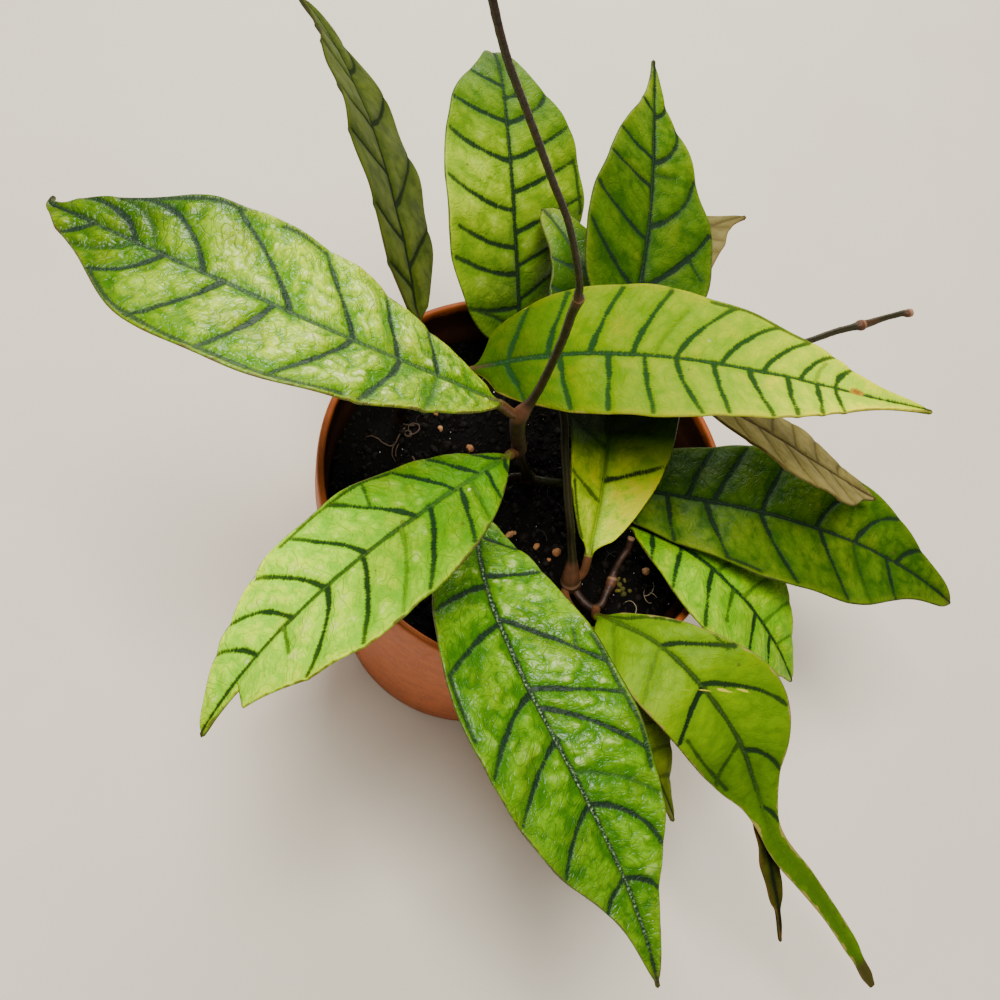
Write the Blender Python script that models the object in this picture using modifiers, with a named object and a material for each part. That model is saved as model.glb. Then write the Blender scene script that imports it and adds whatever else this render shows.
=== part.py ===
"""Hoya callistophylla in a plastic nursery pot.

One solid for each piece that can be told apart: the pot, the soil, the five stems that stand in
holes in the soil, and each of the fourteen leaves. Metres, +Z up, with the origin at the middle
of the pot's underside. The designs below are in millimetres and degrees.
"""
import math

import bmesh
import bpy
from mathutils import Vector, noise

MM = 0.001
CLEARANCE = 0.3

# Pot, mm: a 12 cm nursery pot.
POT_HEIGHT = 105.0
RIM_RADIUS = 60.0
RIM_WALL = 2.2
COLLAR_DEPTH = 12.0
BODY_TOP_RADIUS = 57.2
BASE_RADIUS = 42.0
POT_WALL = 1.8
FLOOR = 2.2
POT_STEPS = 40
DRAIN_HOLES = 6
DRAIN_RADIUS = 4.0
DRAIN_RING = 27.0

# Soil, mm.
SOIL_TOP = 91.5
SOIL_EDGE = 90.0
LUMP_SIZE = 9.0
LUMP_HEIGHT = 2.4
LUMP_SEED = 3.0
HOLE_SIDES = 12

# Leaves, mm: a blade's thickness at its midrib and its margin, the midrib's keel underneath, and
# the round stalk. From TIP_FROM on the outline draws in by TIP_PINCH to its long tip. A section
# has a point at each station of ACROSS, from the left margin to the right one, on both faces.
MIDDLE_THICKNESS = 1.5
EDGE_THICKNESS = 0.8
RIB_DEPTH = 0.9
PETIOLE_RADIUS = 1.25
SEAT = 0.3
TIP_HALF = 0.6
TIP_FROM = 0.7
TIP_PINCH = 2.4
ACROSS = (-1.0, -0.62, -0.26, 0.0, 0.26, 0.62, 1.0)
STALK_STATIONS = 5
LONG_LEAF = 80.0
LONG_ROWS = 20
SHORT_ROWS = 15
STALK_FADE = 0.09
TORN_ROWS = 24
TORN_THICKNESS = 1.3
FLAP_ROWS = 8
FLAP_THICKNESS = 1.0

# Stems, each a route of points in mm with the radius there: the first point is the buried foot.
LEADER = [
    ((1.5, 4.5, 82.5), 1.7), ((1.5, 4.5, 94.0), 1.7), ((1.0, 3.0, 97.5), 2.2), ((0.0, 1.0, 101.0), 2.3),
    ((-0.5, -1.5, 107.0), 1.6), ((-2.5, -7.5, 121.0), 1.5), ((-4.5, -14.5, 137.0), 1.5),
    ((-5.5, -17.0, 143.5), 1.7), ((-5.5, -18.5, 147.0), 2.1), ((-6.0, -19.0, 150.0), 1.9),
    ((-7.5, -20.5, 157.0), 1.9), ((-8.5, -21.0, 162.5), 2.1), ((-8.5, -21.0, 166.0), 2.0),
    ((-7.5, -19.5, 171.0), 1.3), ((-7.0, -19.0, 180.0), 1.15), ((-7.0, -20.0, 198.0), 1.15),
    ((-7.5, -20.5, 208.0), 1.2), ((-7.5, -21.5, 213.5), 1.3), ((-7.5, -21.5, 215.5), 1.5),
    ((-8.0, -22.0, 217.5), 1.1), ((-8.5, -22.5, 221.0), 0.9), ((-11.0, -24.5, 230.0), 0.9),
    ((-15.0, -28.0, 243.0), 0.85), ((-20.0, -31.5, 255.0), 0.85), ((-26.0, -37.5, 272.0), 0.8),
    ((-31.0, -42.5, 286.0), 0.8), ((-34.5, -45.5, 297.0), 0.8), ((-36.5, -46.5, 303.0), 0.85),
    ((-37.0, -47.5, 305.5), 1.3), ((-37.5, -48.5, 308.0), 1.0), ((-38.5, -50.0, 312.0), 0.5),
]
LOW_VINE = [
    ((24.5, -21.0, 82.5), 1.9), ((24.5, -21.0, 94.5), 1.9), ((24.5, -21.5, 96.5), 2.5),
    ((24.0, -22.5, 99.0), 3.1), ((23.0, -22.5, 102.5), 2.6), ((21.0, -20.0, 107.5), 1.6),
    ((18.0, -18.0, 114.0), 1.45), ((16.0, -17.5, 120.0), 1.4), ((12.5, -15.5, 127.0), 1.4),
    ((9.0, -12.0, 133.0), 1.35), ((5.5, -8.0, 138.0), 1.35),
    ((2.5, -3.5, 142.0), 1.3), ((-0.5, 0.0, 145.0), 1.3), ((-1.5, 3.0, 148.0), 1.6),
    ((0.0, 7.0, 150.5), 1.4), ((4.0, 11.0, 151.5), 1.2), ((8.5, 13.5, 151.0), 1.8), ((12.5, 15.0, 151.0), 1.2),
    ((16.5, 16.0, 151.0), 1.8), ((19.5, 17.5, 150.5), 1.7), ((24.0, 22.0, 150.0), 1.1),
    ((30.0, 28.5, 149.5), 1.0),
    ((36.0, 35.0, 149.0), 1.0), ((44.0, 42.0, 149.5), 1.0), ((52.5, 50.0, 150.0), 1.0),
    ((58.5, 57.0, 150.0), 1.05), ((63.0, 61.5, 150.0), 1.15), ((64.5, 63.0, 150.0), 1.75),
    ((66.5, 65.0, 150.0), 1.3), ((70.5, 69.5, 150.0), 0.95), ((74.5, 73.5, 150.0), 1.0),
    ((76.0, 74.5, 150.0), 1.5),
    ((77.0, 75.5, 150.0), 1.1),
]
STUB = [
    ((24.0, -22.5, 99.0), 1.4), ((27.0, -24.5, 99.0), 1.35), ((30.0, -26.0, 99.0), 1.35),
    ((32.5, -26.5, 99.5), 1.4),
    ((34.0, -24.5, 100.0), 1.3), ((34.0, -21.5, 101.0), 1.3), ((34.0, -18.0, 102.0), 1.7),
    ((33.5, -15.5, 103.0), 1.2), ((33.5, -12.5, 105.0), 1.15), ((34.0, -9.0, 107.0), 1.15),
    ((33.5, -6.5, 109.5), 1.2),
]
LEFT_SHOOT = [
    ((-41.0, 5.0, 82.5), 1.7), ((-41.0, 5.0, 94.0), 1.7), ((-41.0, 4.5, 98.0), 1.6),
    ((-40.0, 2.5, 112.0), 1.5),
    ((-39.0, 0.0, 126.0), 1.5), ((-38.5, -1.0, 133.0), 1.8), ((-37.5, -2.5, 136.5), 1.9),
    ((-35.0, -6.5, 142.0), 1.4), ((-32.0, -11.5, 148.0), 1.6), ((-30.5, -13.5, 150.5), 1.8),
    ((-29.5, -14.5, 153.0), 1.2),
]
BACK_SHOOT = [
    ((-14.5, 37.5, 82.5), 1.6), ((-14.5, 37.5, 94.0), 1.6), ((-15.0, 38.0, 96.0), 1.8),
    ((-16.0, 38.5, 99.0), 2.1),
    ((-15.5, 38.0, 102.0), 1.4), ((-13.5, 37.5, 105.0), 1.2),
]
RIGHT_SHOOT = [
    ((22.5, 1.5, 82.5), 1.6), ((22.5, 1.5, 94.0), 1.6), ((23.0, 1.0, 96.5), 1.7), ((23.5, -0.5, 100.5), 2.0),
    ((23.0, -1.5, 102.5), 1.2), ((22.0, -2.0, 104.0), 0.9),
]

# Leaves. node: the point on the stem's axis that the stalk leaves from, with the stem's radius
# there; side: the way it leaves, where that isn't straight to the blade. base: where the blade
# starts. Then the length and the greatest width, and at the blade's base, middle and tip its
# heading from +X, its pitch and its roll; how far each half folds up at the base and the tip;
# where it is widest, and how full its sides are. The margin's waves: how many, where they start,
# how high. notch: where a tear has taken the left margin off, and how wide a strip is left there.
LEAVES = {
    "leaf_west": dict(
        node=(-8.5, -21.0, 165.5, 2.1), base=(-14.0, -24.5, 171.0), length=117, width=46,
        heading=(-148, -175, -195), pitch=(39, 5, -19), roll=(18, 14, -15), fold=(5, 4), widest=0.51, full=0.75,
        waves=5.5, phase=0.3, wave=1.0),
    "leaf_lower_left": dict(
        node=(-5.5, -18.5, 147.0, 2.5), base=(-7.5, -25.5, 151.5), length=101, width=43,
        heading=(-108, -115, -95), pitch=(31, -14, -28), roll=(0, 29, 36), fold=(0, 9), widest=0.54, full=0.86,
        waves=4.5, phase=1.2, wave=0.9, notch=(0.85, 2.2)),
    "leaf_east": dict(
        node=(-30.5, -13.5, 150.5, 1.9), base=(-24.0, -9.0, 155.0), length=115, width=43,
        heading=(30, 14, 21), pitch=(31, 10, -6), roll=(0, -11, -18), fold=(8, 9), widest=0.38, full=0.91,
        waves=5.0, phase=2.0, wave=0.6),
    "leaf_upper_left": dict(
        node=(-38.5, -1.5, 134.5, 1.9), base=(-43.0, 5.0, 140.0), length=107, width=40.5,
        heading=(131, 132, 147), pitch=(31, 3, -2), roll=(49, 53, 44), fold=(4, 11), widest=0.46, full=0.74,
        waves=4.0, phase=0.8, wave=0.7),
    "leaf_top": dict(
        node=(-16.0, 38.5, 99.0, 2.1), base=(-20.5, 41.0, 107.5), length=95, width=49,
        heading=(151, 128, 115), pitch=(64, 37, -41), roll=(12, 16, 0), fold=(5, 10), widest=0.36, full=0.71,
        waves=4.0, phase=2.6, wave=0.7),
    "leaf_top_right": dict(
        node=(8.5, 13.5, 151.0, 1.9), base=(7.5, 21.5, 155.0), length=86, width=41,
        heading=(104, 108, 113), pitch=(25, 3, 10), roll=(9, 24, 23), fold=(7, 9), widest=0.31, full=1.02,
        waves=4.0, phase=1.6, wave=0.7),
    "leaf_centre": dict(
        node=(23.5, -22.5, 102.0, 2.6), side=(0.8, 0.6, 0.1), base=(24.5, -17.0, 108.5), length=101, width=45,
        heading=(106, 122, 158), pitch=(32, 21, 6), roll=(21, 20, -4), fold=(20, 5), widest=0.52, full=0.66,
        waves=4.0, phase=0.0, wave=0.7),
    "leaf_low_right": dict(
        node=(0.5, 2.0, 99.5, 2.6), base=(9.0, 4.0, 101.0), length=128, width=45,
        heading=(11, 13, 2), pitch=(23, -1, -28), roll=(-7, -6, 8), fold=(5, 5), widest=0.54, full=0.72,
        waves=5.0, phase=0.9, wave=0.7),
    "leaf_under_right": dict(
        node=(18.0, 16.5, 151.0, 1.9), side=(0.6, -0.8, 0.0), base=(26.5, 17.0, 150.5), length=77, width=31,
        heading=(5, 15, 28), pitch=(-4, -28, -33), roll=(-20, -27, -12), fold=(2, 10), widest=0.50, full=0.88,
        waves=3.5, phase=0.4, wave=0.5),
    "leaf_rim_right": dict(
        node=(23.5, -0.5, 100.5, 2.0), base=(31.5, -2.0, 107.0), length=75, width=39,
        heading=(-2, -12, -7), pitch=(27, -21, -54), roll=(-5, -10, -5), fold=(3, 9), widest=0.50, full=0.91,
        waves=3.5, phase=1.9, wave=0.5),
    "leaf_front": dict(
        node=(0.0, 1.0, 101.0, 2.3), side=(-1.0, -0.35, 0.0), base=(-7.5, -22.0, 113.0), length=142, width=44,
        heading=(-89, -36, -48), pitch=(47, -9, -25), roll=(-2, -3, 7), fold=(14, 2), widest=0.50, full=1.01,
        waves=5.5, phase=0.6, wave=1.0),
    "leaf_rim_front": dict(
        node=(24.0, -22.5, 99.0, 3.1), side=(-0.35, -0.95, 0.0), base=(31.0, -34.0, 103.0), length=66, width=28,
        heading=(-54, -33, -17), pitch=(30, -22, -52), roll=(-2, -24, -28), fold=(9, 8), widest=0.44, full=0.87,
        waves=3.0, phase=0.2, wave=0.4),
    "leaf_back_tan": dict(
        node=(16.5, 16.0, 151.0, 1.9), side=(-0.5, 0.85, -0.1), base=(13.5, 32.0, 142.0), length=60, width=30,
        heading=(139, 73, 49), pitch=(22, 0, 1), roll=(-6, -20, -28), fold=(8, 6), widest=0.45, full=0.91,
        waves=3.0, phase=1.0, wave=0.4),
}

# The torn leaf: its route, its roll along it, and the width of its far and near halves along it.
# A flap of its near half hangs loose beside the strip that runs on to the tip.
TORN_NODE = (33.0, -26.0, 100.0, 1.4)
TORN_ROUTE = [(34, -31, 105), (38, -34, 113), (49, -37, 119), (63, -42, 119), (80, -47, 109),
              (92, -53, 98), (104, -60, 88), (118, -63, 79), (135, -67, 66), (157, -74, 50)]
TORN_ROLL = [(0.0, 10), (0.2, 22), (0.4, 28), (0.6, 20), (0.8, 5), (1.0, 20)]
TORN_FAR = [(0.0, 1.2), (0.05, 2.8), (0.1, 4.8), (0.15, 8.5), (0.2, 12.0), (0.25, 16.0), (0.3, 18.0),
            (0.35, 16.8), (0.4, 12.2), (0.45, 8.0), (0.5, 5.0), (0.55, 2.8), (0.65, 2.0), (0.8, 2.6),
            (0.92, 3.2), (0.97, 2.0), (1.0, 0.6)]
TORN_NEAR = [(0.0, 1.2), (0.05, 8.2), (0.1, 12.8), (0.15, 14.8), (0.2, 15.6), (0.3, 14.8), (0.35, 14.2),
             (0.4, 13.0), (0.45, 10.0), (0.5, 5.2), (0.55, 2.6), (0.65, 3.4), (0.72, 3.0), (0.8, 2.0),
             (0.92, 1.6), (0.97, 1.2), (1.0, 0.6)]
FLAP_ROUTE = [(89, -56, 103), (93, -60, 98), (98, -63, 92), (104, -67, 85), (111, -71, 78),
              (117, -75, 71), (122, -78, 65)]
FLAP_ROLL = [(0.0, -55), (1.0, -80)]
FLAP_HALF = [(0.0, 1.6), (0.2, 3.4), (0.45, 3.8), (0.7, 3.2), (0.86, 1.6), (1.0, 0.5)]

COLOURS = {
    "terracotta_plastic": ((0.56, 0.17, 0.045, 1.0), 0.45),
    "dark_soil": ((0.018, 0.013, 0.010, 1.0), 0.95),
    "brown_stem": ((0.075, 0.035, 0.022, 1.0), 0.55),
    "green_leaf": ((0.17, 0.42, 0.025, 1.0), 0.32),
    "yellow_leaf": ((0.36, 0.56, 0.035, 1.0), 0.35),
    "olive_leaf": ((0.13, 0.17, 0.03, 1.0), 0.45),
    "tan_leaf": ((0.23, 0.15, 0.075, 1.0), 0.5),
}
LEAF_COLOUR = {
    "leaf_east": "yellow_leaf",
    "leaf_upper_left": "olive_leaf",
    "leaf_under_right": "tan_leaf",
    "leaf_back_tan": "tan_leaf",
}


def clear_scene():
    for item in list(bpy.data.objects):
        bpy.data.objects.remove(item, do_unlink=True)


def make_collection(name):
    group = bpy.data.collections.new(name)
    bpy.context.scene.collection.children.link(group)
    return group


def make_material(name):
    colour, roughness = COLOURS[name]
    material = bpy.data.materials.new(name)
    material.use_nodes = True
    shader = material.node_tree.nodes["Principled BSDF"]
    shader.inputs["Base Color"].default_value = colour
    shader.inputs["Roughness"].default_value = roughness
    material.diffuse_color = colour
    return material


def add_mesh_object(name, mesh, group, material=None):
    item = bpy.data.objects.new(name, mesh)
    group.objects.link(item)
    if material:
        mesh.materials.clear()
        mesh.materials.append(material)
    return item


def three_way(values, t):
    """A smooth value along a blade, from its values at the base, the middle and the tip."""
    base, middle, tip = values
    return base * (1 - t) * (1 - 2 * t) + 4 * middle * t * (1 - t) + tip * t * (2 * t - 1)


def between(stations, t):
    """A value read from a list of stations, straight from one to the next."""
    for (t0, v0), (t1, v1) in zip(stations, stations[1:]):
        if t <= t1:
            return v0 + (v1 - v0) * (t - t0) / (t1 - t0)
    return stations[-1][1]


def smooth_route(points, t):
    """The point at the fraction t of the way along a smooth curve through the route's points."""
    spans = len(points) - 1
    lengths = [(Vector(b) - Vector(a)).length for a, b in zip(points, points[1:])]
    along = min(max(t, 0.0), 1.0) * sum(lengths)
    i = 0
    while i < spans - 1 and along > lengths[i]:
        along -= lengths[i]
        i += 1
    f = along / lengths[i]
    p1 = Vector(points[i])
    p2 = Vector(points[i + 1])
    p0 = Vector(points[i - 1]) if i > 0 else p1 * 2 - p2
    p3 = Vector(points[i + 2]) if i + 2 <= spans else p2 * 2 - p1
    return 0.5 * (2 * p1 + (p2 - p0) * f + (2 * p0 - 5 * p1 + 4 * p2 - p3) * f * f
                  + (3 * p1 - p0 - 3 * p2 + p3) * f ** 3)


def leaf_outline(t, design):
    """Half the blade's width at t from its base to its tip."""
    power = math.log(0.5) / math.log(design["widest"])
    half = design["width"] / 2 * math.sin(math.pi * min(max(t, 0.0), 1.0) ** power) ** design["full"]
    drawn_in = min(max((t - TIP_FROM) / (1 - TIP_FROM), 0.0), 1.0)
    return max(half * (1 - TIP_PINCH * drawn_in ** 2 * (1 - drawn_in)), TIP_HALF)


def torn_back(half, t, design):
    """Half a width where a tear has taken the margin off, from the notch on towards the tip."""
    if "notch" not in design or t <= design["notch"][0]:
        return half
    place, strip = design["notch"]
    return min(half, TIP_HALF + strip * (1 - t) / (1 - place))


def blade_frame(heading, pitch, roll):
    """The blade's forward, left and up directions."""
    h = math.radians(heading)
    p = math.radians(pitch)
    r = math.radians(roll)
    forward = Vector((math.cos(p) * math.cos(h), math.cos(p) * math.sin(h), math.sin(p)))
    level = Vector((-math.sin(h), math.cos(h), 0.0))
    above = forward.cross(level)
    left = math.cos(r) * level + math.sin(r) * above
    return forward, left, forward.cross(left)


def stalk_rings(node, base, forward, left, count, side=None):
    """Round sections of the stalk on one smooth bend, from the stem's side to the blade's base."""
    axis_point = Vector(node[:3])
    end = Vector(base)
    away = end - axis_point
    out = Vector(side or (away.x, away.y, 0.3 * away.z)).normalized()
    start = axis_point + out * (node[3] + CLEARANCE + SEAT)
    reach = (end - start).length
    rings = []
    for i in range(count):
        f = i / count
        a = 2 * f ** 3 - 3 * f ** 2 + 1
        b = f ** 3 - 2 * f ** 2 + f
        c = -2 * f ** 3 + 3 * f ** 2
        d = f ** 3 - f ** 2
        point = a * start + b * reach * out + c * end + d * reach * forward
        da = 6 * f ** 2 - 6 * f
        db = 3 * f ** 2 - 4 * f + 1
        dd = 3 * f ** 2 - 2 * f
        tangent = (da * start + db * reach * out - da * end + dd * reach * forward).normalized()
        across = (left - left.dot(tangent) * tangent).normalized()
        rings.append(round_ring(point, across, tangent.cross(across)))
    return rings


def round_ring(point, side, above):
    """A round section: seven points over the top from left to right, then seven back underneath."""
    seam = math.radians(12)
    turn = math.pi - 2 * seam
    top = []
    bottom = []
    for j in range(len(ACROSS)):
        angle = seam + turn * j / (len(ACROSS) - 1)
        out = PETIOLE_RADIUS * math.cos(angle) * side
        up = PETIOLE_RADIUS * math.sin(angle) * above
        top.append(point + out + up)
        bottom.append(point + out - up)
    return top + bottom[::-1]


def blade_ring(point, side, above, halves, fold, thickness, rib, lifts):
    """A blade's section, in the round section's order: halves are its left and right widths."""
    top = []
    bottom = []
    for u, lift in zip(ACROSS, lifts):
        half = halves[0] if u < 0 else halves[1]
        middle = (point - side * (u * half * math.cos(fold))
                  + above * (abs(u) * half * math.sin(fold) + lift))
        body = EDGE_THICKNESS + (thickness - EDGE_THICKNESS) * (1 - u * u)
        keel = rib if u == 0 else 0.0
        top.append(middle + above * body / 2)
        bottom.append(middle - above * (body / 2 + keel))
    return top + bottom[::-1]


def mixed(ring, other, share):
    return [a.lerp(b, share) for a, b in zip(ring, other)]


def loft(name, rings):
    """A closed body through rings of equal count, split into triangles alike on both faces."""
    bm = bmesh.new()
    rows = [[bm.verts.new(p * MM) for p in ring] for ring in rings]
    count = len(rows[0])
    half = count // 2
    for a, b in zip(rows, rows[1:]):
        for j in range(count):
            k = (j + 1) % count
            flip = (j < half - 1 and j < (half - 1) // 2) or (half <= j and j >= half + (half - 1) // 2)
            if flip:
                bm.faces.new((a[j], b[j], b[k]))
                bm.faces.new((a[j], b[k], a[k]))
            else:
                bm.faces.new((a[j], b[j], a[k]))
                bm.faces.new((a[k], b[j], b[k]))
    for row, forward in ((rows[0], True), (rows[-1], False)):
        for j in range(half - 1):
            quad = (row[j], row[j + 1], row[count - 2 - j], row[count - 1 - j])
            bm.faces.new(quad if forward else quad[::-1])
    bmesh.ops.recalc_face_normals(bm, faces=bm.faces)
    mesh = bpy.data.meshes.new(name)
    bm.to_mesh(mesh)
    bm.free()
    mesh.shade_smooth()
    mesh.set_sharp_from_angle(angle=math.radians(50))
    return mesh


def lifted(t, design, half):
    """How far each point of a section stands off the plain blade: waved edges and puckered panes."""
    wave = design["wave"] * math.sin(math.pi * min(max(t, 0.0), 1.0))
    cycle = 2 * math.pi * design["waves"] * t + design["phase"]
    panes = 0.035 * half * math.sin(math.pi * min(t * 1.1, 1.0))
    lifts = []
    for u in ACROSS:
        side_phase = 0.0 if u < 0 else 1.7
        edge = wave * u * u * math.sin(cycle + side_phase)
        pucker = panes * (1 - abs(2 * abs(u) - 1)) * math.cos(1.7 * cycle + side_phase)
        lifts.append(edge + pucker)
    return lifts


def midline_point(design, t):
    """The point at t on the blade's midline, followed from the base by its heading and pitch."""
    point = Vector(design["base"])
    steps = max(1, round(120 * t))
    for k in range(steps):
        s = t * (k + 0.5) / steps
        ahead = blade_frame(three_way(design["heading"], s), three_way(design["pitch"], s), 0)[0]
        point = point + ahead * (design["length"] * t / steps)
    return point


def blade_places(design):
    """Where a blade has its sections: evenly along it, with one more just past a tear."""
    rows = LONG_ROWS if design["length"] > LONG_LEAF else SHORT_ROWS
    places = [i / rows for i in range(rows + 1)]
    if "notch" in design:
        places.append(design["notch"][0] + 0.012)
    return sorted(places)


def build_leaf(name, design, group, material):
    forward, left, above = blade_frame(design["heading"][0], design["pitch"][0], design["roll"][0])
    rings = stalk_rings(design["node"], design["base"], forward, left, STALK_STATIONS, design.get("side"))
    low_fold, tip_fold = design["fold"]
    for t in blade_places(design):
        forward, left, above = blade_frame(*(three_way(design[key], t) for key in ("heading", "pitch", "roll")))
        point = midline_point(design, t)
        half = leaf_outline(t, design)
        fold = math.radians(low_fold + (tip_fold - low_fold) * max(0.0, 2 * t - 1) ** 2)
        blade = blade_ring(point, left, above, (torn_back(half, t, design), half), fold, MIDDLE_THICKNESS,
                           RIB_DEPTH * (1 - t) ** 0.7, lifted(t, design, half))
        rings.append(mixed(round_ring(point, left, above), blade, min(1.0, t / STALK_FADE)))
    return add_mesh_object(name, loft(name, rings), group, material)


def route_directions(route, t, roll):
    ahead = (smooth_route(route, t + 0.01) - smooth_route(route, t - 0.01)).normalized()
    level = Vector((-ahead.y, ahead.x, 0.0)).normalized()
    above = ahead.cross(level)
    left = math.cos(roll) * level + math.sin(roll) * above
    return ahead, left, ahead.cross(left)


def build_torn_leaf(name, group, material):
    forward, left, above = route_directions(TORN_ROUTE, 0.02, math.radians(TORN_ROLL[0][1]))
    rings = stalk_rings(TORN_NODE, TORN_ROUTE[0], forward, left, 3)
    for i in range(TORN_ROWS + 1):
        t = i / TORN_ROWS
        forward, left, above = route_directions(TORN_ROUTE, t, math.radians(between(TORN_ROLL, t)))
        point = smooth_route(TORN_ROUTE, t)
        swell = 0.5 * math.sin(math.pi * t) * math.sin(22 * t)
        blade = blade_ring(point, left, above, (between(TORN_FAR, t), between(TORN_NEAR, t)), math.radians(4),
                           TORN_THICKNESS, RIB_DEPTH * max(0.0, 1 - 1.8 * t), [swell * u * u for u in ACROSS])
        rings.append(mixed(round_ring(point, left, above), blade, min(1.0, t / 0.06)))
    blade = add_mesh_object(name, loft(name, rings), group, material)
    return join_by_union(blade, build_flap(name + "_flap", group, material))


def build_flap(name, group, material):
    rings = []
    for i in range(FLAP_ROWS + 1):
        t = i / FLAP_ROWS
        forward, left, above = route_directions(FLAP_ROUTE, t, math.radians(between(FLAP_ROLL, t)))
        half = between(FLAP_HALF, t)
        rings.append(blade_ring(smooth_route(FLAP_ROUTE, t), left, above, (half, half), math.radians(6),
                                FLAP_THICKNESS, 0.0, [0.0] * len(ACROSS)))
    return add_mesh_object(name, loft(name, rings), group, material)


def join_by_union(target, other):
    """Fuse two grown-together bodies into one mesh."""
    join = target.modifiers.new("join", "BOOLEAN")
    join.operation = "UNION"
    join.solver = "EXACT"
    join.object = other
    depsgraph = bpy.context.evaluated_depsgraph_get()
    fused = bpy.data.meshes.new_from_object(target.evaluated_get(depsgraph))
    target.modifiers.clear()
    target.data = fused
    bpy.data.objects.remove(other, do_unlink=True)
    return target


def curve_tube(name, route, group):
    """A round stem: a curve with a bevel, its thickness set point by point, made a closed mesh."""
    curve = bpy.data.curves.new(name, "CURVE")
    curve.dimensions = "3D"
    curve.bevel_depth = MM
    curve.bevel_resolution = 2
    curve.use_fill_caps = True
    spline = curve.splines.new("POLY")
    spline.points.add(len(route) - 1)
    for point, (place, radius) in zip(spline.points, route):
        point.co = (place[0] * MM, place[1] * MM, place[2] * MM, 1.0)
        point.radius = radius
    item = bpy.data.objects.new(name + "_route", curve)
    group.objects.link(item)
    depsgraph = bpy.context.evaluated_depsgraph_get()
    mesh = bpy.data.meshes.new_from_object(item.evaluated_get(depsgraph))
    bpy.data.objects.remove(item, do_unlink=True)
    bm = bmesh.new()
    bm.from_mesh(mesh)
    bmesh.ops.remove_doubles(bm, verts=bm.verts, dist=0.00001)
    bmesh.ops.recalc_face_normals(bm, faces=bm.faces)
    bm.to_mesh(mesh)
    bm.free()
    mesh.name = name
    return mesh


def build_stem(name, route, group, material, branch=None):
    stem = add_mesh_object(name, curve_tube(name, route, group), group, material)
    if branch:
        side_stem = name + "_branch"
        other = add_mesh_object(side_stem, curve_tube(side_stem, branch, group), group, material)
        stem = join_by_union(stem, other)
    stem.data.shade_smooth()
    return stem


def turned(name, profile, steps, group):
    """A closed profile turned about Z with a Screw modifier, and applied."""
    mesh = bpy.data.meshes.new(name)
    edges = [(i, (i + 1) % len(profile)) for i in range(len(profile))]
    on_axis = [i for i, (radius, height) in enumerate(profile) if radius == 0]
    edges = [(i, j) for i, j in edges if not (i in on_axis and j in on_axis)]
    mesh.from_pydata([(r * MM, 0.0, z * MM) for r, z in profile], edges, [])
    item = bpy.data.objects.new(name, mesh)
    group.objects.link(item)
    screw = item.modifiers.new("turn", "SCREW")
    screw.steps = steps
    screw.render_steps = steps
    screw.use_merge_vertices = True
    screw.merge_threshold = 0.00001
    screw.use_normal_calculate = True
    depsgraph = bpy.context.evaluated_depsgraph_get()
    solid = bpy.data.meshes.new_from_object(item.evaluated_get(depsgraph))
    item.modifiers.clear()
    item.data = solid
    return item


def add_cutter(name, x, y, radius, low, high, group, sides):
    bm = bmesh.new()
    bmesh.ops.create_cone(bm, cap_ends=True, segments=sides, radius1=radius * MM, radius2=radius * MM,
                          depth=(high - low) * MM)
    mesh = bpy.data.meshes.new(name)
    bm.to_mesh(mesh)
    bm.free()
    cutter = bpy.data.objects.new(name, mesh)
    cutter.location = (x * MM, y * MM, (low + high) / 2 * MM)
    cutter.hide_render = True
    cutter.display_type = "WIRE"
    group.objects.link(cutter)
    return cutter


def cut_with(item, cutter):
    cut = item.modifiers.new("cut_" + cutter.name, "BOOLEAN")
    cut.operation = "DIFFERENCE"
    cut.solver = "EXACT"
    cut.object = cutter


def build_pot(group, cutters, material):
    collar = POT_HEIGHT - COLLAR_DEPTH
    inner_top = RIM_RADIUS - RIM_WALL
    profile = [
        (inner_top + 0.5, POT_HEIGHT), (RIM_RADIUS - 0.6, POT_HEIGHT), (RIM_RADIUS, POT_HEIGHT - 0.8),
        (RIM_RADIUS - 0.5, collar + 0.4), (RIM_RADIUS - 1.0, collar), (BODY_TOP_RADIUS, collar - 0.6),
        (BASE_RADIUS + 0.8, 1.0), (BASE_RADIUS, 0.0), (0.0, 0.0), (0.0, FLOOR),
        (BASE_RADIUS - POT_WALL, FLOOR), (BODY_TOP_RADIUS - POT_WALL, collar - 2.0),
        (inner_top - 0.6, collar + 1.5), (inner_top, POT_HEIGHT - 0.6),
    ]
    pot = turned("pot", profile, POT_STEPS, group)
    pot.data.materials.append(material)
    for i in range(DRAIN_HOLES):
        angle = 2 * math.pi * i / DRAIN_HOLES
        cut_with(pot, add_cutter("drain_%d" % i, DRAIN_RING * math.cos(angle), DRAIN_RING * math.sin(angle),
                                 DRAIN_RADIUS, -2.0, FLOOR + 2.0, cutters, 16))
    pot.data.shade_smooth()
    pot.data.set_sharp_from_angle(angle=math.radians(35))
    return pot


def inner_radius(z):
    """The pot's inner radius at a height below the collar."""
    collar = POT_HEIGHT - COLLAR_DEPTH
    low = BASE_RADIUS - POT_WALL
    high = BODY_TOP_RADIUS - POT_WALL
    return low + (high - low) * (z - FLOOR) / (collar - 2.0 - FLOOR)


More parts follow.
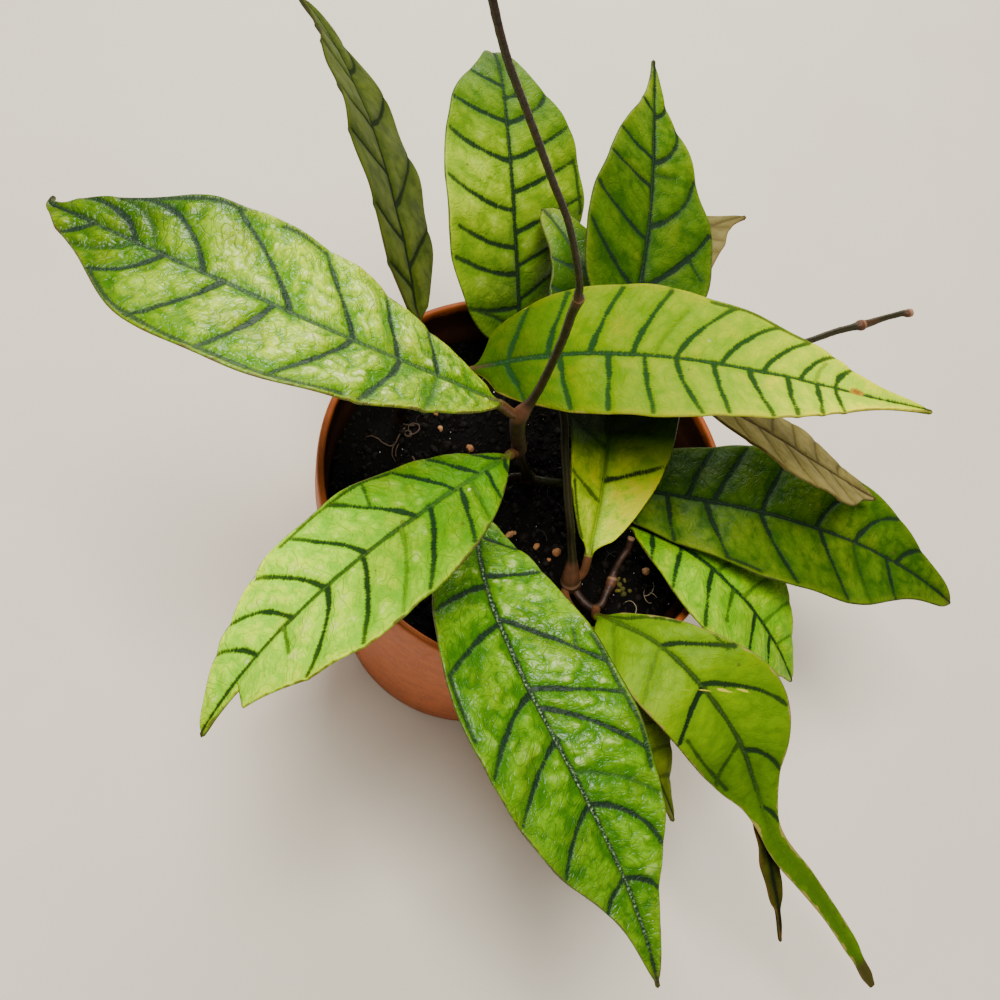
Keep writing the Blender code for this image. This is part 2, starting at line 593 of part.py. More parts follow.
def build_soil(group, cutters, material, feet):
    floor = FLOOR + CLEARANCE
    gap = CLEARANCE + 0.15
    profile = [(0.0, SOIL_TOP), (11.0, SOIL_TOP), (20.0, SOIL_TOP), (28.5, SOIL_TOP), (36.5, SOIL_TOP),
               (44.0, SOIL_TOP - 0.4), (50.0, SOIL_EDGE), (inner_radius(SOIL_EDGE - 3) - gap, SOIL_EDGE - 3),
               (inner_radius(floor) - gap, floor), (0.0, floor)]
    soil = turned("soil", profile, 40, group)
    for vertex in soil.data.vertices:
        x, y, z = vertex.co / MM
        if z > SOIL_EDGE - 1:
            lump = noise.noise(Vector((x, y, LUMP_SEED)) / LUMP_SIZE)
            crumb = noise.noise(Vector((x, y, 3 * LUMP_SEED)) / (0.45 * LUMP_SIZE))
            vertex.co.z += (lump + 0.5 * crumb) * LUMP_HEIGHT * MM
    soil.data.materials.append(material)
    for name, foot, radius in feet:
        cut_with(soil, add_cutter("hole_" + name, foot[0], foot[1], radius + CLEARANCE, foot[2] - CLEARANCE,
                                  POT_HEIGHT, cutters, HOLE_SIDES))
    return soil


def build_plant(group, cutters):
    wood = make_material("brown_stem")
    stems = {
        "leader_vine": (LEADER, None),
        "low_vine": (LOW_VINE, STUB),
        "left_shoot": (LEFT_SHOOT, None),
        "back_shoot": (BACK_SHOOT, None),
        "right_shoot": (RIGHT_SHOOT, None),
    }
    feet = []
    for name, (route, branch) in stems.items():
        build_stem(name, route, group, wood, branch)
        feet.append((name, route[0][0], route[0][1]))
    greens = {key: make_material(key) for key in COLOURS if key.endswith("_leaf")}
    for name, design in LEAVES.items():
        build_leaf(name, design, group, greens[LEAF_COLOUR.get(name, "green_leaf")])
    build_torn_leaf("leaf_torn", group, greens["green_leaf"])
    return feet


def main():
    clear_scene()
    group = make_collection("hoya_callistophylla")
    cutters = make_collection("cutters")
    build_pot(group, cutters, make_material("terracotta_plastic"))
    feet = build_plant(group, cutters)
    build_soil(group, cutters, make_material("dark_soil"), feet)


main()
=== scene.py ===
"""Hoya callistophylla in a plastic nursery pot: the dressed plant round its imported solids.

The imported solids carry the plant's place and size. Each of them is replaced here by a finer piece
made from the same design values: leaves with their veins, bulging panes and margins, ringed
stems, a turned pot and crumbly soil. Designs are in millimetres and degrees.
"""
import math
from functools import cache
import bpy
import numpy as np
from mathutils import Matrix, Vector, noise


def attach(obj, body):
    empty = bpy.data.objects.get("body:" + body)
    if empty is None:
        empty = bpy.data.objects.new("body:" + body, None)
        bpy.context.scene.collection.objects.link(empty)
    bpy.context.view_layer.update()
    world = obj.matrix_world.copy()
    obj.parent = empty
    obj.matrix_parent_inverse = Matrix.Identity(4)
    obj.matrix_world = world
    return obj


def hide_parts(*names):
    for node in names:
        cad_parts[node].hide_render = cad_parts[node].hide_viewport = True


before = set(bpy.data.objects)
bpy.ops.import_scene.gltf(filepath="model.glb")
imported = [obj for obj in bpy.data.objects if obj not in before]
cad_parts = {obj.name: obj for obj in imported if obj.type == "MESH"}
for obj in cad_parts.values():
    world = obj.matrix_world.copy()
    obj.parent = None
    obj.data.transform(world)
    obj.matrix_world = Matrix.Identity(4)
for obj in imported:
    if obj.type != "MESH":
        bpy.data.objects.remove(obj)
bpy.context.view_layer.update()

MM = 0.001

# The kinds of a node group's sockets.
COLOUR = "NodeSocketColor"
NUMBER = "NodeSocketFloat"
VECTOR = "NodeSocketVector"
WHOLE = "NodeSocketInt"
GEOMETRY = "NodeSocketGeometry"

# Leaves, mm: the space between the points of a blade's surface, its thickness at the midrib and
# the margin, how far in the margin is rounded, and the keel under the midrib.
GRID = 0.69
MIDDLE_THICKNESS = 1.3
EDGE_THICKNESS = 0.8
ROUNDED_EDGE = 0.35
RIB_DEPTH = 0.9
# The round stalk: its radius in mm, the share of the blade over which it turns into the blade, its
# sections, how deep it starts as a share of its stem's radius, and how much of its rise it leaves with.
PETIOLE_RADIUS = 1.25
STALK_FADE = 0.05
STALK_ROWS = 26
STALK_DEPTH = 0.4
STALK_LEVEL = 0.3
# The tip: half its width and its reach past the last row in mm, where its pinch starts and how
# strong that is, where a sharpened point ends, and where a hooked tip turns.
TIP_HALF = 0.6
TIP_REACH = 0.7
TIP_FROM = 0.7
TIP_PINCH = 2.4
POINT_END = 0.985
HOOK_FROM = 0.967
# The share of a blade that the loose lobe beside a notch takes, and how far out of step the waves
# of the two margins are, in radians.
LOBE_SHARE = 0.15
WAVE_OFFSET = 1.7
# How far the kinks of a list of stations are eased, and over how many rows a route's direction is.
STATION_EASE = 0.018
ROUTE_SOFTENING = 9
# The first random seed of the whole leaves and of the torn one.
LEAF_SEED = 20
TORN_SEED = 60

# Leaves as they hang in the photo. node: the place and radius of the joint that bears one, side: the
# way its stalk leaves, base: where its blade starts. Where three values stand, they are for the base,
# the middle and the tip. widest: where it is widest, full: how square its ends are. waves, phase and
# wave: how many waves the margin has, where they start and how high they are. hook: how far the tip
# turns. neck, point and notch reshape the margin near it, scars and pale are marks on the blade.
LEAVES = {
    "leaf_west": dict(
        node=(-8.5, -21.0, 165.5, 2.1), base=(-14.0, -24.5, 171.0), length=117, width=46,
        heading=(-148, -175, -190), pitch=(39, 5, -19), roll=(18, 14, -15), fold=(5, 4), widest=0.51,
        full=0.75, waves=5.5, phase=0.3, wave=0.45, hook=-85, neck=(0.955, 0.03, 0.5),
        point=(0.93, 0.62), fade=0.03),
    "leaf_lower_left": dict(
        node=(-5.5, -18.5, 147.0, 2.5), base=(-6.9, -23.6, 150.4), length=103, width=43,
        heading=(-108, -115, -95), pitch=(31, -14, -28), roll=(0, 29, 36), fold=(0, 9), widest=0.54,
        full=0.86, waves=4.5, phase=1.2, wave=0.5, notch=(0.855, 2.6), lip=3.2,
        neck=(0.88, 0.07, -0.30), fade=0.02,
        pale=[(0.815, 0.08, 0.006, 0.03), (0.69, 0.97, 0.007, 0.03), (0.19, -0.2, 0.006, 0.03)]),
    "leaf_east": dict(
        node=(-30.5, -13.5, 150.5, 1.9), base=(-24.0, -9.0, 155.0), length=115, width=43,
        heading=(30, 14, 21), pitch=(31, 10, -6), roll=(0, -11, -18), fold=(8, 9), widest=0.38,
        full=0.91, waves=5.0, phase=2.0, wave=0.4, scars=[(0.825, -0.05, 0.014, 0.12)],
        pale=[(0.50, -0.32, 0.010, 0.014)]),
    "leaf_upper_left": dict(
        node=(-38.5, -1.5, 134.5, 1.9), base=(-43.0, 5.0, 140.0), length=107, width=40.5,
        heading=(131, 132, 147), pitch=(31, 3, -2), roll=(49, 53, 44), fold=(4, 11), widest=0.46,
        full=0.74, waves=4.0, phase=0.8, wave=0.7),
    "leaf_top": dict(
        node=(-16.0, 38.5, 99.0, 2.1), base=(-20.5, 41.0, 107.5), length=95, width=49,
        heading=(151, 128, 115), pitch=(64, 37, -41), roll=(12, 16, 0), fold=(5, 10), widest=0.36,
        full=0.71, waves=4.0, phase=2.6, wave=0.7),
    "leaf_top_right": dict(
        node=(8.5, 13.5, 151.0, 1.9), base=(7.5, 21.5, 155.0), length=86, width=41,
        heading=(104, 108, 113), pitch=(25, 3, 10), roll=(9, 24, 23), fold=(7, 9), widest=0.31,
        full=1.02, waves=4.0, phase=1.6, wave=0.7),
    "leaf_centre": dict(
        node=(23.5, -22.5, 102.0, 2.6), side=(0.8, 0.6, 0.1), base=(24.5, -17.0, 108.5), length=101,
        width=45, heading=(106, 122, 158), pitch=(32, 21, 6), roll=(21, 20, -4), fold=(20, 5),
        widest=0.52, full=0.66, waves=4.0, phase=0.0, wave=0.7),
    "leaf_low_right": dict(
        node=(0.5, 2.0, 99.5, 2.6), base=(9.0, 4.0, 101.0), length=128, width=45, heading=(11, 13, 2),
        pitch=(23, -1, -28), roll=(-7, -6, 8), fold=(5, 5), widest=0.54, full=0.72, waves=5.0,
        phase=0.9, wave=0.7),
    "leaf_under_right": dict(
        node=(18.0, 16.5, 151.0, 1.9), side=(0.6, -0.8, 0.0), base=(26.5, 17.0, 150.5), length=77,
        width=31, heading=(5, 15, 28), pitch=(-4, -28, -33), roll=(-20, -27, -12), fold=(2, 10),
        widest=0.50, full=0.88, waves=3.5, phase=0.4, wave=0.5),
    "leaf_rim_right": dict(
        node=(23.5, -0.5, 100.5, 2.0), base=(31.5, -2.0, 107.0), length=75, width=39,
        heading=(-2, -12, -7), pitch=(27, -21, -54), roll=(-5, -10, -5), fold=(3, 9), widest=0.50,
        full=0.91, waves=3.5, phase=1.9, wave=0.5),
    "leaf_front": dict(
        node=(0.0, 1.0, 101.0, 2.3), side=(-1.0, -0.35, 0.0), base=(-7.5, -22.0, 113.0), length=142,
        width=44, heading=(-89, -36, -48), pitch=(47, -9, -25), roll=(-2, -3, 7), fold=(14, 2),
        widest=0.50, full=1.01, waves=5.5, phase=0.6, wave=0.6),
    "leaf_rim_front": dict(
        node=(24.0, -22.5, 99.0, 3.1), side=(-0.35, -0.95, 0.0), base=(31.0, -34.0, 103.0), length=66,
        width=28, heading=(-54, -33, -17), pitch=(30, -22, -52), roll=(-2, -24, -28), fold=(9, 8),
        widest=0.44, full=0.87, waves=3.0, phase=0.2, wave=0.4),
    "leaf_back_tan": dict(
        node=(16.5, 16.0, 151.0, 1.9), side=(-0.5, 0.85, -0.1), base=(13.5, 32.0, 142.0), length=60,
        width=30, heading=(139, 73, 49), pitch=(22, 0, 1), roll=(-6, -20, -28), fold=(8, 6),
        widest=0.45, full=0.91, waves=3.0, phase=1.0, wave=0.4),
}

# The slots of the leaves that aren't plain green.
SLOTS = {"leaf_east": "yellow_leaf", "leaf_upper_left": "olive_leaf", "leaf_under_right": "tan_leaf",
         "leaf_back_tan": "tan_leaf"}

# The torn leaf follows a route in mm. As places along it: its roll in degrees, and its half widths in
# mm on its far and near side. Its flap is built in the same way, from a round end of FLAP_START mm,
# and FLAP_ALONG keeps that end from being coloured as a stalk.
TORN_NODE = (33.0, -26.0, 100.0, 1.4)
TORN_ROUTE = [
    (34, -31, 105), (38, -34, 113), (49, -37, 119), (63, -42, 119), (80, -47, 109), (92, -53, 98),
    (104, -60, 88), (118, -63, 79), (135, -67, 66), (157, -74, 50),
]
TORN_ROLL = [(0.0, 10), (0.2, 22), (0.4, 28), (0.6, 20), (0.8, 5), (1.0, 20)]
TORN_FAR = [
    (0.0, 1.2), (0.05, 2.8), (0.1, 4.8), (0.15, 8.5), (0.2, 12.0), (0.25, 16.0), (0.3, 18.0),
    (0.35, 16.8), (0.4, 12.2), (0.45, 8.0), (0.5, 5.0), (0.55, 3.2), (0.65, 2.7), (0.8, 3.2),
    (0.9, 3.0), (0.935, 1.9), (0.96, 2.3), (0.985, 1.8), (1.0, 0.6),
]
TORN_NEAR = [
    (0.0, 1.2), (0.05, 8.2), (0.1, 12.8), (0.15, 14.8), (0.2, 15.6), (0.3, 14.8), (0.35, 14.2),
    (0.4, 13.0), (0.45, 10.0), (0.5, 5.2), (0.55, 3.2), (0.65, 4.0), (0.72, 3.2), (0.8, 2.4),
    (0.9, 1.8), (0.935, 1.0), (0.96, 1.9), (0.985, 1.4), (1.0, 0.6),
]
TORN_PALE = [(0.262, -0.10, 0.0016, 0.42, -0.10), (0.283, -0.36, 0.0013, 0.26, -0.10)]
TORN_FOLD = 4
TORN_FADE = 0.06
TORN_WAVE = dict(waves=3.5, phase=0.0, wave=0.5)
FLAP_START = 0.5
FLAP_FADE = 0.05
FLAP_ALONG = 0.1
FLAP_ROUTE = [
    (94.5, -52.5, 93.0), (99.5, -57.5, 87.5), (105.0, -61.5, 82.0), (110.0, -66.0, 76.5),
    (115.0, -70.0, 71.5), (119.0, -74.5, 68.0), (122.0, -78.0, 64.5),
]
FLAP_ROLL = [(0.0, 5), (1.0, -15)]
FLAP_HALF = [(0.0, 2.2), (0.2, 2.9), (0.45, 3.6), (0.62, 3.0), (0.74, 2.3), (0.79, 1.0), (1.0, 0.45)]
FLAP_FOLD = 6

# Side veins of each blade, on its left and right: where one leaves the midrib and where it meets
# the margin, as shares of the blade's length, then its strength, and how far across it runs.
# branches: further lines as (share along, place across), edges: the line that runs beside the
# margin, as its place across and its two ends.
VEINS = {
    "leaf_west": dict(
        rib=(0.6, 0.8, 1.0),
        left=[(0.17, 0.22, 0.5), (0.25, 0.33), (0.35, 0.47), (0.50, 0.575), (0.60, 0.70), (0.72, 0.82),
              (0.78, 0.89, 0.5), (0.87, 0.92)],
        right=[(0.165, 0.175), (0.255, 0.29), (0.345, 0.46), (0.47, 0.68), (0.64, 0.84), (0.74, 0.865, 0.5),
               (0.78, 0.93)],
        edges=[(-0.93, 0.35, 0.80), (0.93, 0.45, 0.56), (0.93, 0.65, 0.86)]),
    "leaf_east": dict(
        left=[(0.08, 0.13), (0.165, 0.21), (0.255, 0.32), (0.345, 0.42), (0.435, 0.56), (0.53, 0.66),
              (0.62, 0.73), (0.70, 0.78), (0.73, 0.78, 0.5, 0.6), (0.775, 0.82), (0.39, 0.49, 0.3, 0.7)],
        right=[(0.075, 0.12), (0.19, 0.225), (0.295, 0.305), (0.37, 0.40), (0.435, 0.50), (0.515, 0.55),
               (0.59, 0.64), (0.67, 0.685), (0.735, 0.735), (0.775, 0.785)],
        edges=[(-0.95, 0.50, 0.72)]),
    "leaf_lower_left": dict(
        rib=(0.35, 0.85, 1.0),
        right=[(0.04, 0.10), (0.13, 0.20), (0.215, 0.29), (0.33, 0.465), (0.47, 0.585), (0.585, 0.70),
               (0.68, 0.80), (0.79, 0.86)],
        left=[(0.03, 0.06), (0.11, 0.145), (0.165, 0.22, 0.5), (0.20, 0.29), (0.29, 0.44), (0.375, 0.51, 0.5),
              (0.48, 0.61), (0.58, 0.745), (0.71, 0.78, 0.8, 0.4)],
        branches=[((0.385, 0.55), (0.36, 0.9))],
        edges=[(0.94, 0.29, 0.60)]),
    "leaf_front": dict(
        right=[(0.12, 0.17), (0.24, 0.29), (0.32, 0.39), (0.45, 0.545), (0.54, 0.63), (0.66, 0.745),
               (0.80, 0.84)],
        left=[(0.11, 0.16), (0.22, 0.235), (0.31, 0.47), (0.445, 0.53), (0.48, 0.64), (0.60, 0.71, 0.5),
              (0.66, 0.785), (0.80, 0.845)],
        branches=[((0.405, -0.72), (0.375, -0.80))],
        edges=[(0.93, 0.39, 0.48), (-0.94, 0.40, 0.66)]),
    "leaf_low_right": dict(
        right=[(0.14, 0.19), (0.245, 0.27), (0.33, 0.39), (0.455, 0.55), (0.60, 0.685), (0.685, 0.745, 0.5),
               (0.78, 0.82)],
        left=[(0.12, 0.15), (0.18, 0.21), (0.29, 0.34), (0.35, 0.42), (0.46, 0.52), (0.59, 0.70),
              (0.69, 0.80), (0.81, 0.875)],
        edges=[(0.93, 0.38, 0.46)]),
    "leaf_top": dict(
        left=[(0.10, 0.20), (0.215, 0.345), (0.30, 0.43, 1.0, 0.85), (0.41, 0.53), (0.55, 0.635),
              (0.665, 0.71), (0.78, 0.82)],
        right=[(0.12, 0.18), (0.235, 0.30), (0.34, 0.42), (0.46, 0.555), (0.555, 0.665), (0.66, 0.78),
               (0.74, 0.82, 1.0, 0.4)],
        branches=[((0.20, -0.96), (0.13, -0.62), (0.05, -0.3))],
        edges=[(0.93, 0.35, 0.55)]),
    "leaf_top_right": dict(
        left=[(0.13, 0.30), (0.31, 0.42), (0.50, 0.54), (0.61, 0.66), (0.80, 0.84)],
        right=[(0.15, 0.43, 1.3), (0.36, 0.62), (0.555, 0.62, 0.5, 0.5), (0.60, 0.78), (0.78, 0.85)],
        branches=[((0.31, 0.6), (0.24, 0.85))]),
    "leaf_centre": dict(
        rib=(0.25, 0.5, 0.9),
        right=[(0.21, 0.27), (0.34, 0.42, 0.6), (0.45, 0.54, 0.6), (0.56, 0.65), (0.67, 0.76), (0.78, 0.86)],
        left=[(0.15, 0.23, 0.8), (0.30, 0.38, 0.6), (0.44, 0.53, 0.6), (0.57, 0.66), (0.69, 0.76),
              (0.80, 0.86)],
        edges=[(-0.9, 0.05, 0.20)]),
    "leaf_rim_right": dict(
        right=[(0.10, 0.15), (0.22, 0.27), (0.36, 0.44), (0.47, 0.53, 0.8, 0.55), (0.60, 0.69), (0.72, 0.80)],
        left=[(0.12, 0.18, 0.6), (0.25, 0.33, 0.6), (0.38, 0.47, 0.6), (0.52, 0.61, 0.6), (0.66, 0.74, 0.6),
              (0.78, 0.84, 0.6)]),
    "leaf_upper_left": dict(
        right=[(0.15, 0.30), (0.31, 0.55), (0.55, 0.72), (0.72, 0.86)],
        left=[(0.10, 0.15), (0.22, 0.27), (0.40, 0.44), (0.53, 0.56), (0.68, 0.74), (0.80, 0.85)]),
}
TORN_VEINS = dict(
    rib=(0.5, 0.85, 0.85, 0.0), rib_places=(0.0, 0.2, 0.45, 0.56),
    left=[(0.15, 0.235), (0.24, 0.36), (0.385, 0.455), (0.51, 0.55)],
    right=[(0.06, 0.11, 0.3), (0.15, 0.20, 0.4), (0.245, 0.30, 1.3), (0.37, 0.44, 0.8)],
    branches=[((0.02, -0.1), (0.08, -0.55), (0.15, -0.95)), ((0.225, -0.8), (0.20, -0.95))],
    edges=[(0.80, 0.30, 0.45)])
FLAP_VEINS = dict(left=[], right=[])
# The faint even veins of a leaf that has none of its own, each side with six.
PLAIN_STARTS = [0.12 + 0.125 * k for k in range(6)]
PLAIN_VEINS = dict(left=[(start, start + 0.08, 0.6) for start in PLAIN_STARTS],
                   right=[(start + 0.05, start + 0.13, 0.6) for start in PLAIN_STARTS])

# Vein widths from the middle out, mm: side veins at the midrib and at the margin, the midrib at
# its foot and its tip. How far they wander, and how far a side vein bends towards the tip.
VEIN_HALF = (0.60, 0.36)
RIB_HALF = (0.68, 0.30)
VEIN_POINTS = 26
VEIN_BEND = 1.3
VEIN_WANDER = 0.28
RIB_PLACES = (0.0, 0.35, 1.0)
# How far across a side vein runs, the rates of its wandering, how much its width swells, and the
# distance in mm that counts as far from any vein.
VEIN_REACH = 0.94
VEIN_WAVES = (5, 12, 26)
VEIN_SWELL = 0.16
FAR_FROM_VEIN = 6.0
# A blade's relief, mm: the depth and half width of a vein's groove on the top and underneath, and
# how far from a vein a pane has swollen. Its soft noise: cells to a side, and where it starts.
GROOVE_DEPTH = 0.20
GROOVE_HALF = 0.55
UNDER_DEPTH = 0.25
UNDER_HALF = 0.6
PANE_REACH = 2.6
NOISE_CELLS = 64
NOISE_START = (17.3, 31.7)

# How each blade looks: the height of its panes and of its fine ripples in mm, its finish, the space
# between its surface points where it is finer, how strong the painted glints on its ripples are, and
# the lightness painted on it, mostly painted light, shade and sheen and in part its own paler and darker
# stretches, as rows of a place along it and the lightness there on its left and right.
LOOKS = {
    "leaf_west": dict(
        pane=0.75, ripple=0.34, finish="fresh", grid=0.49, glint=0.75,
        tone=[(0, 1.3, 1.3), (0.3, 1.5, 1.85), (0.5, 1.8, 2.1), (0.68, 1.35, 1.05), (0.8, 0.92, 0.66),
              (1, 0.85, 0.85)]),
    "leaf_lower_left": dict(
        pane=0.60, ripple=0.22, finish="bright", grid=0.50, glint=0.40,
        tone=[(0, 0.85, 0.85), (0.3, 1.15, 1.15), (0.45, 1.9, 2.2), (0.62, 2.9, 3.3), (0.78, 2.9, 3.3),
              (1, 1.9, 1.9)]),
    "leaf_east": dict(
        pane=0.30, ripple=0.05, finish="yellow", grid=0.56,
        tone=[(0, 0.26, 0.23), (0.10, 0.33, 0.29), (0.26, 0.82, 0.70), (0.42, 1.0, 1.0), (0.6, 1.4, 1.5),
              (0.8, 2.2, 2.5), (1, 2.0, 2.0)]),
    "leaf_upper_left": dict(pane=0.30, ripple=0.04, finish="olive"),
    "leaf_top": dict(
        pane=0.42, ripple=0.05, finish="mid", glint=0.1,
        tone=[(0, 0.8, 0.8), (0.15, 1.2, 0.9), (0.3, 2.0, 1.4), (0.45, 3.0, 2.2), (0.55, 2.7, 2.0),
              (0.7, 1.3, 1.2), (0.85, 0.85, 0.85), (1, 0.8, 0.8)]),
    "leaf_top_right": dict(
        pane=0.42, ripple=0.05, finish="dark",
        tone=[(0, 0.8, 0.8), (0.3, 0.95, 0.9), (0.5, 1.0, 1.0), (0.75, 1.5, 1.6), (0.9, 1.9, 2.0),
              (1, 1.5, 1.5)]),
    # The centre leaf's bright base is painted light, and from 0.3 of its length on it is darkened as a
    # painted shadow of leaf_east above it.
    "leaf_centre": dict(
        pane=0.45, ripple=0.08, finish="light", glint=0.2,
        tone=[(0, 2.3, 3.0), (0.2, 3.4, 4.4), (0.26, 2.6, 3.6), (0.30, 0.7, 1.4), (0.34, 0.12, 0.22),
              (0.42, 0.06, 0.09), (0.62, 0.12, 0.15), (0.8, 0.3, 0.3), (1, 0.9, 0.9)]),
    "leaf_low_right": dict(
        pane=0.40, ripple=0.05, finish="dark", bark=(0.035, 0.036, 0.012),
        tone=[(0, 0.7, 1.2), (0.4, 0.7, 1.2), (0.6, 1, 1.1), (1, 1, 1)]),
    "leaf_under_right": dict(pane=0.12, ripple=0.04, finish="tan"),
    "leaf_rim_right": dict(
        pane=0.38, ripple=0.06, finish="bright", tone=[(0, 1.3, 1.3), (0.3, 1.9, 1.75), (1, 1.6, 1.6)]),
    "leaf_front": dict(
        pane=0.70, ripple=0.30, finish="deep", grid=0.49, glint=0.75, bark=(0.020, 0.014, 0.008),
        tone=[(0, 1.0, 1.0), (0.15, 1.45, 1.25), (0.5, 1.5, 1.15), (0.75, 1.25, 1.0), (1, 1, 1)]),
    "leaf_rim_front": dict(pane=0.30, ripple=0.03, finish="shaded"),
    "leaf_back_tan": dict(pane=0.12, ripple=0.03, finish="husk"),
    "leaf_torn": dict(
        pane=0.36, ripple=0.05, finish="torn", tip_from=0.915, pale=(0.60, 0.54, 0.05),
        tone=[(0, 1.2, 1.1), (0.2, 1.35, 1.5), (0.32, 1.1, 1.15), (0.42, 0.8, 0.68), (1, 0.75, 0.75)]),
}
FLAP_LOOK = dict(pane=0.1, ripple=0.08, finish="flap")

# The bark of a leaf's stalk, the small pale marks on a blade and where its tip turns brown, for a
# look that gives no other.
BARK = (0.15, 0.062, 0.024)
FLECK = (0.66, 0.64, 0.34)
BROWN_FROM = 0.965
# The same on all blades: painted glints, painted sheen on the midrib, specks, the ring and heart of a scar,
# dry tips.
GLINT = (0.68, 0.78, 0.28)
RIB_PAINTED_SHEEN = (0.30, 0.42, 0.20)
SPECK = (0.09, 0.075, 0.02)
SCAR_RING = (0.42, 0.24, 0.02)
SCAR_HEART = (0.20, 0.07, 0.012)
DRY_TIP = (0.060, 0.036, 0.012)
# A blade's pattern, mm: how long one unit of its flat map is, the size of the net of its smallest
# veins, the space between specks, and the fine creases as a size and how wide they show.
UV_SPAN = 100
NET_SIZE = 3.4
SPECK_SPACE = 6.0
CREASES = ((4.2, 0.052), (2.3, 0.060))
# What a leaf material reads from the blade, and from its finish.
BLADE_ATTRIBUTES = ("vein", "strength", "run", "lift", "margin", "along", "face", "scar", "pale", "tone")
FINISH_COLOURS = ("deep", "bright", "aged", "under", "rim")
FINISH_NUMBERS = ("yellowing", "browning", "specks", "wrinkle", "flecks", "rough")

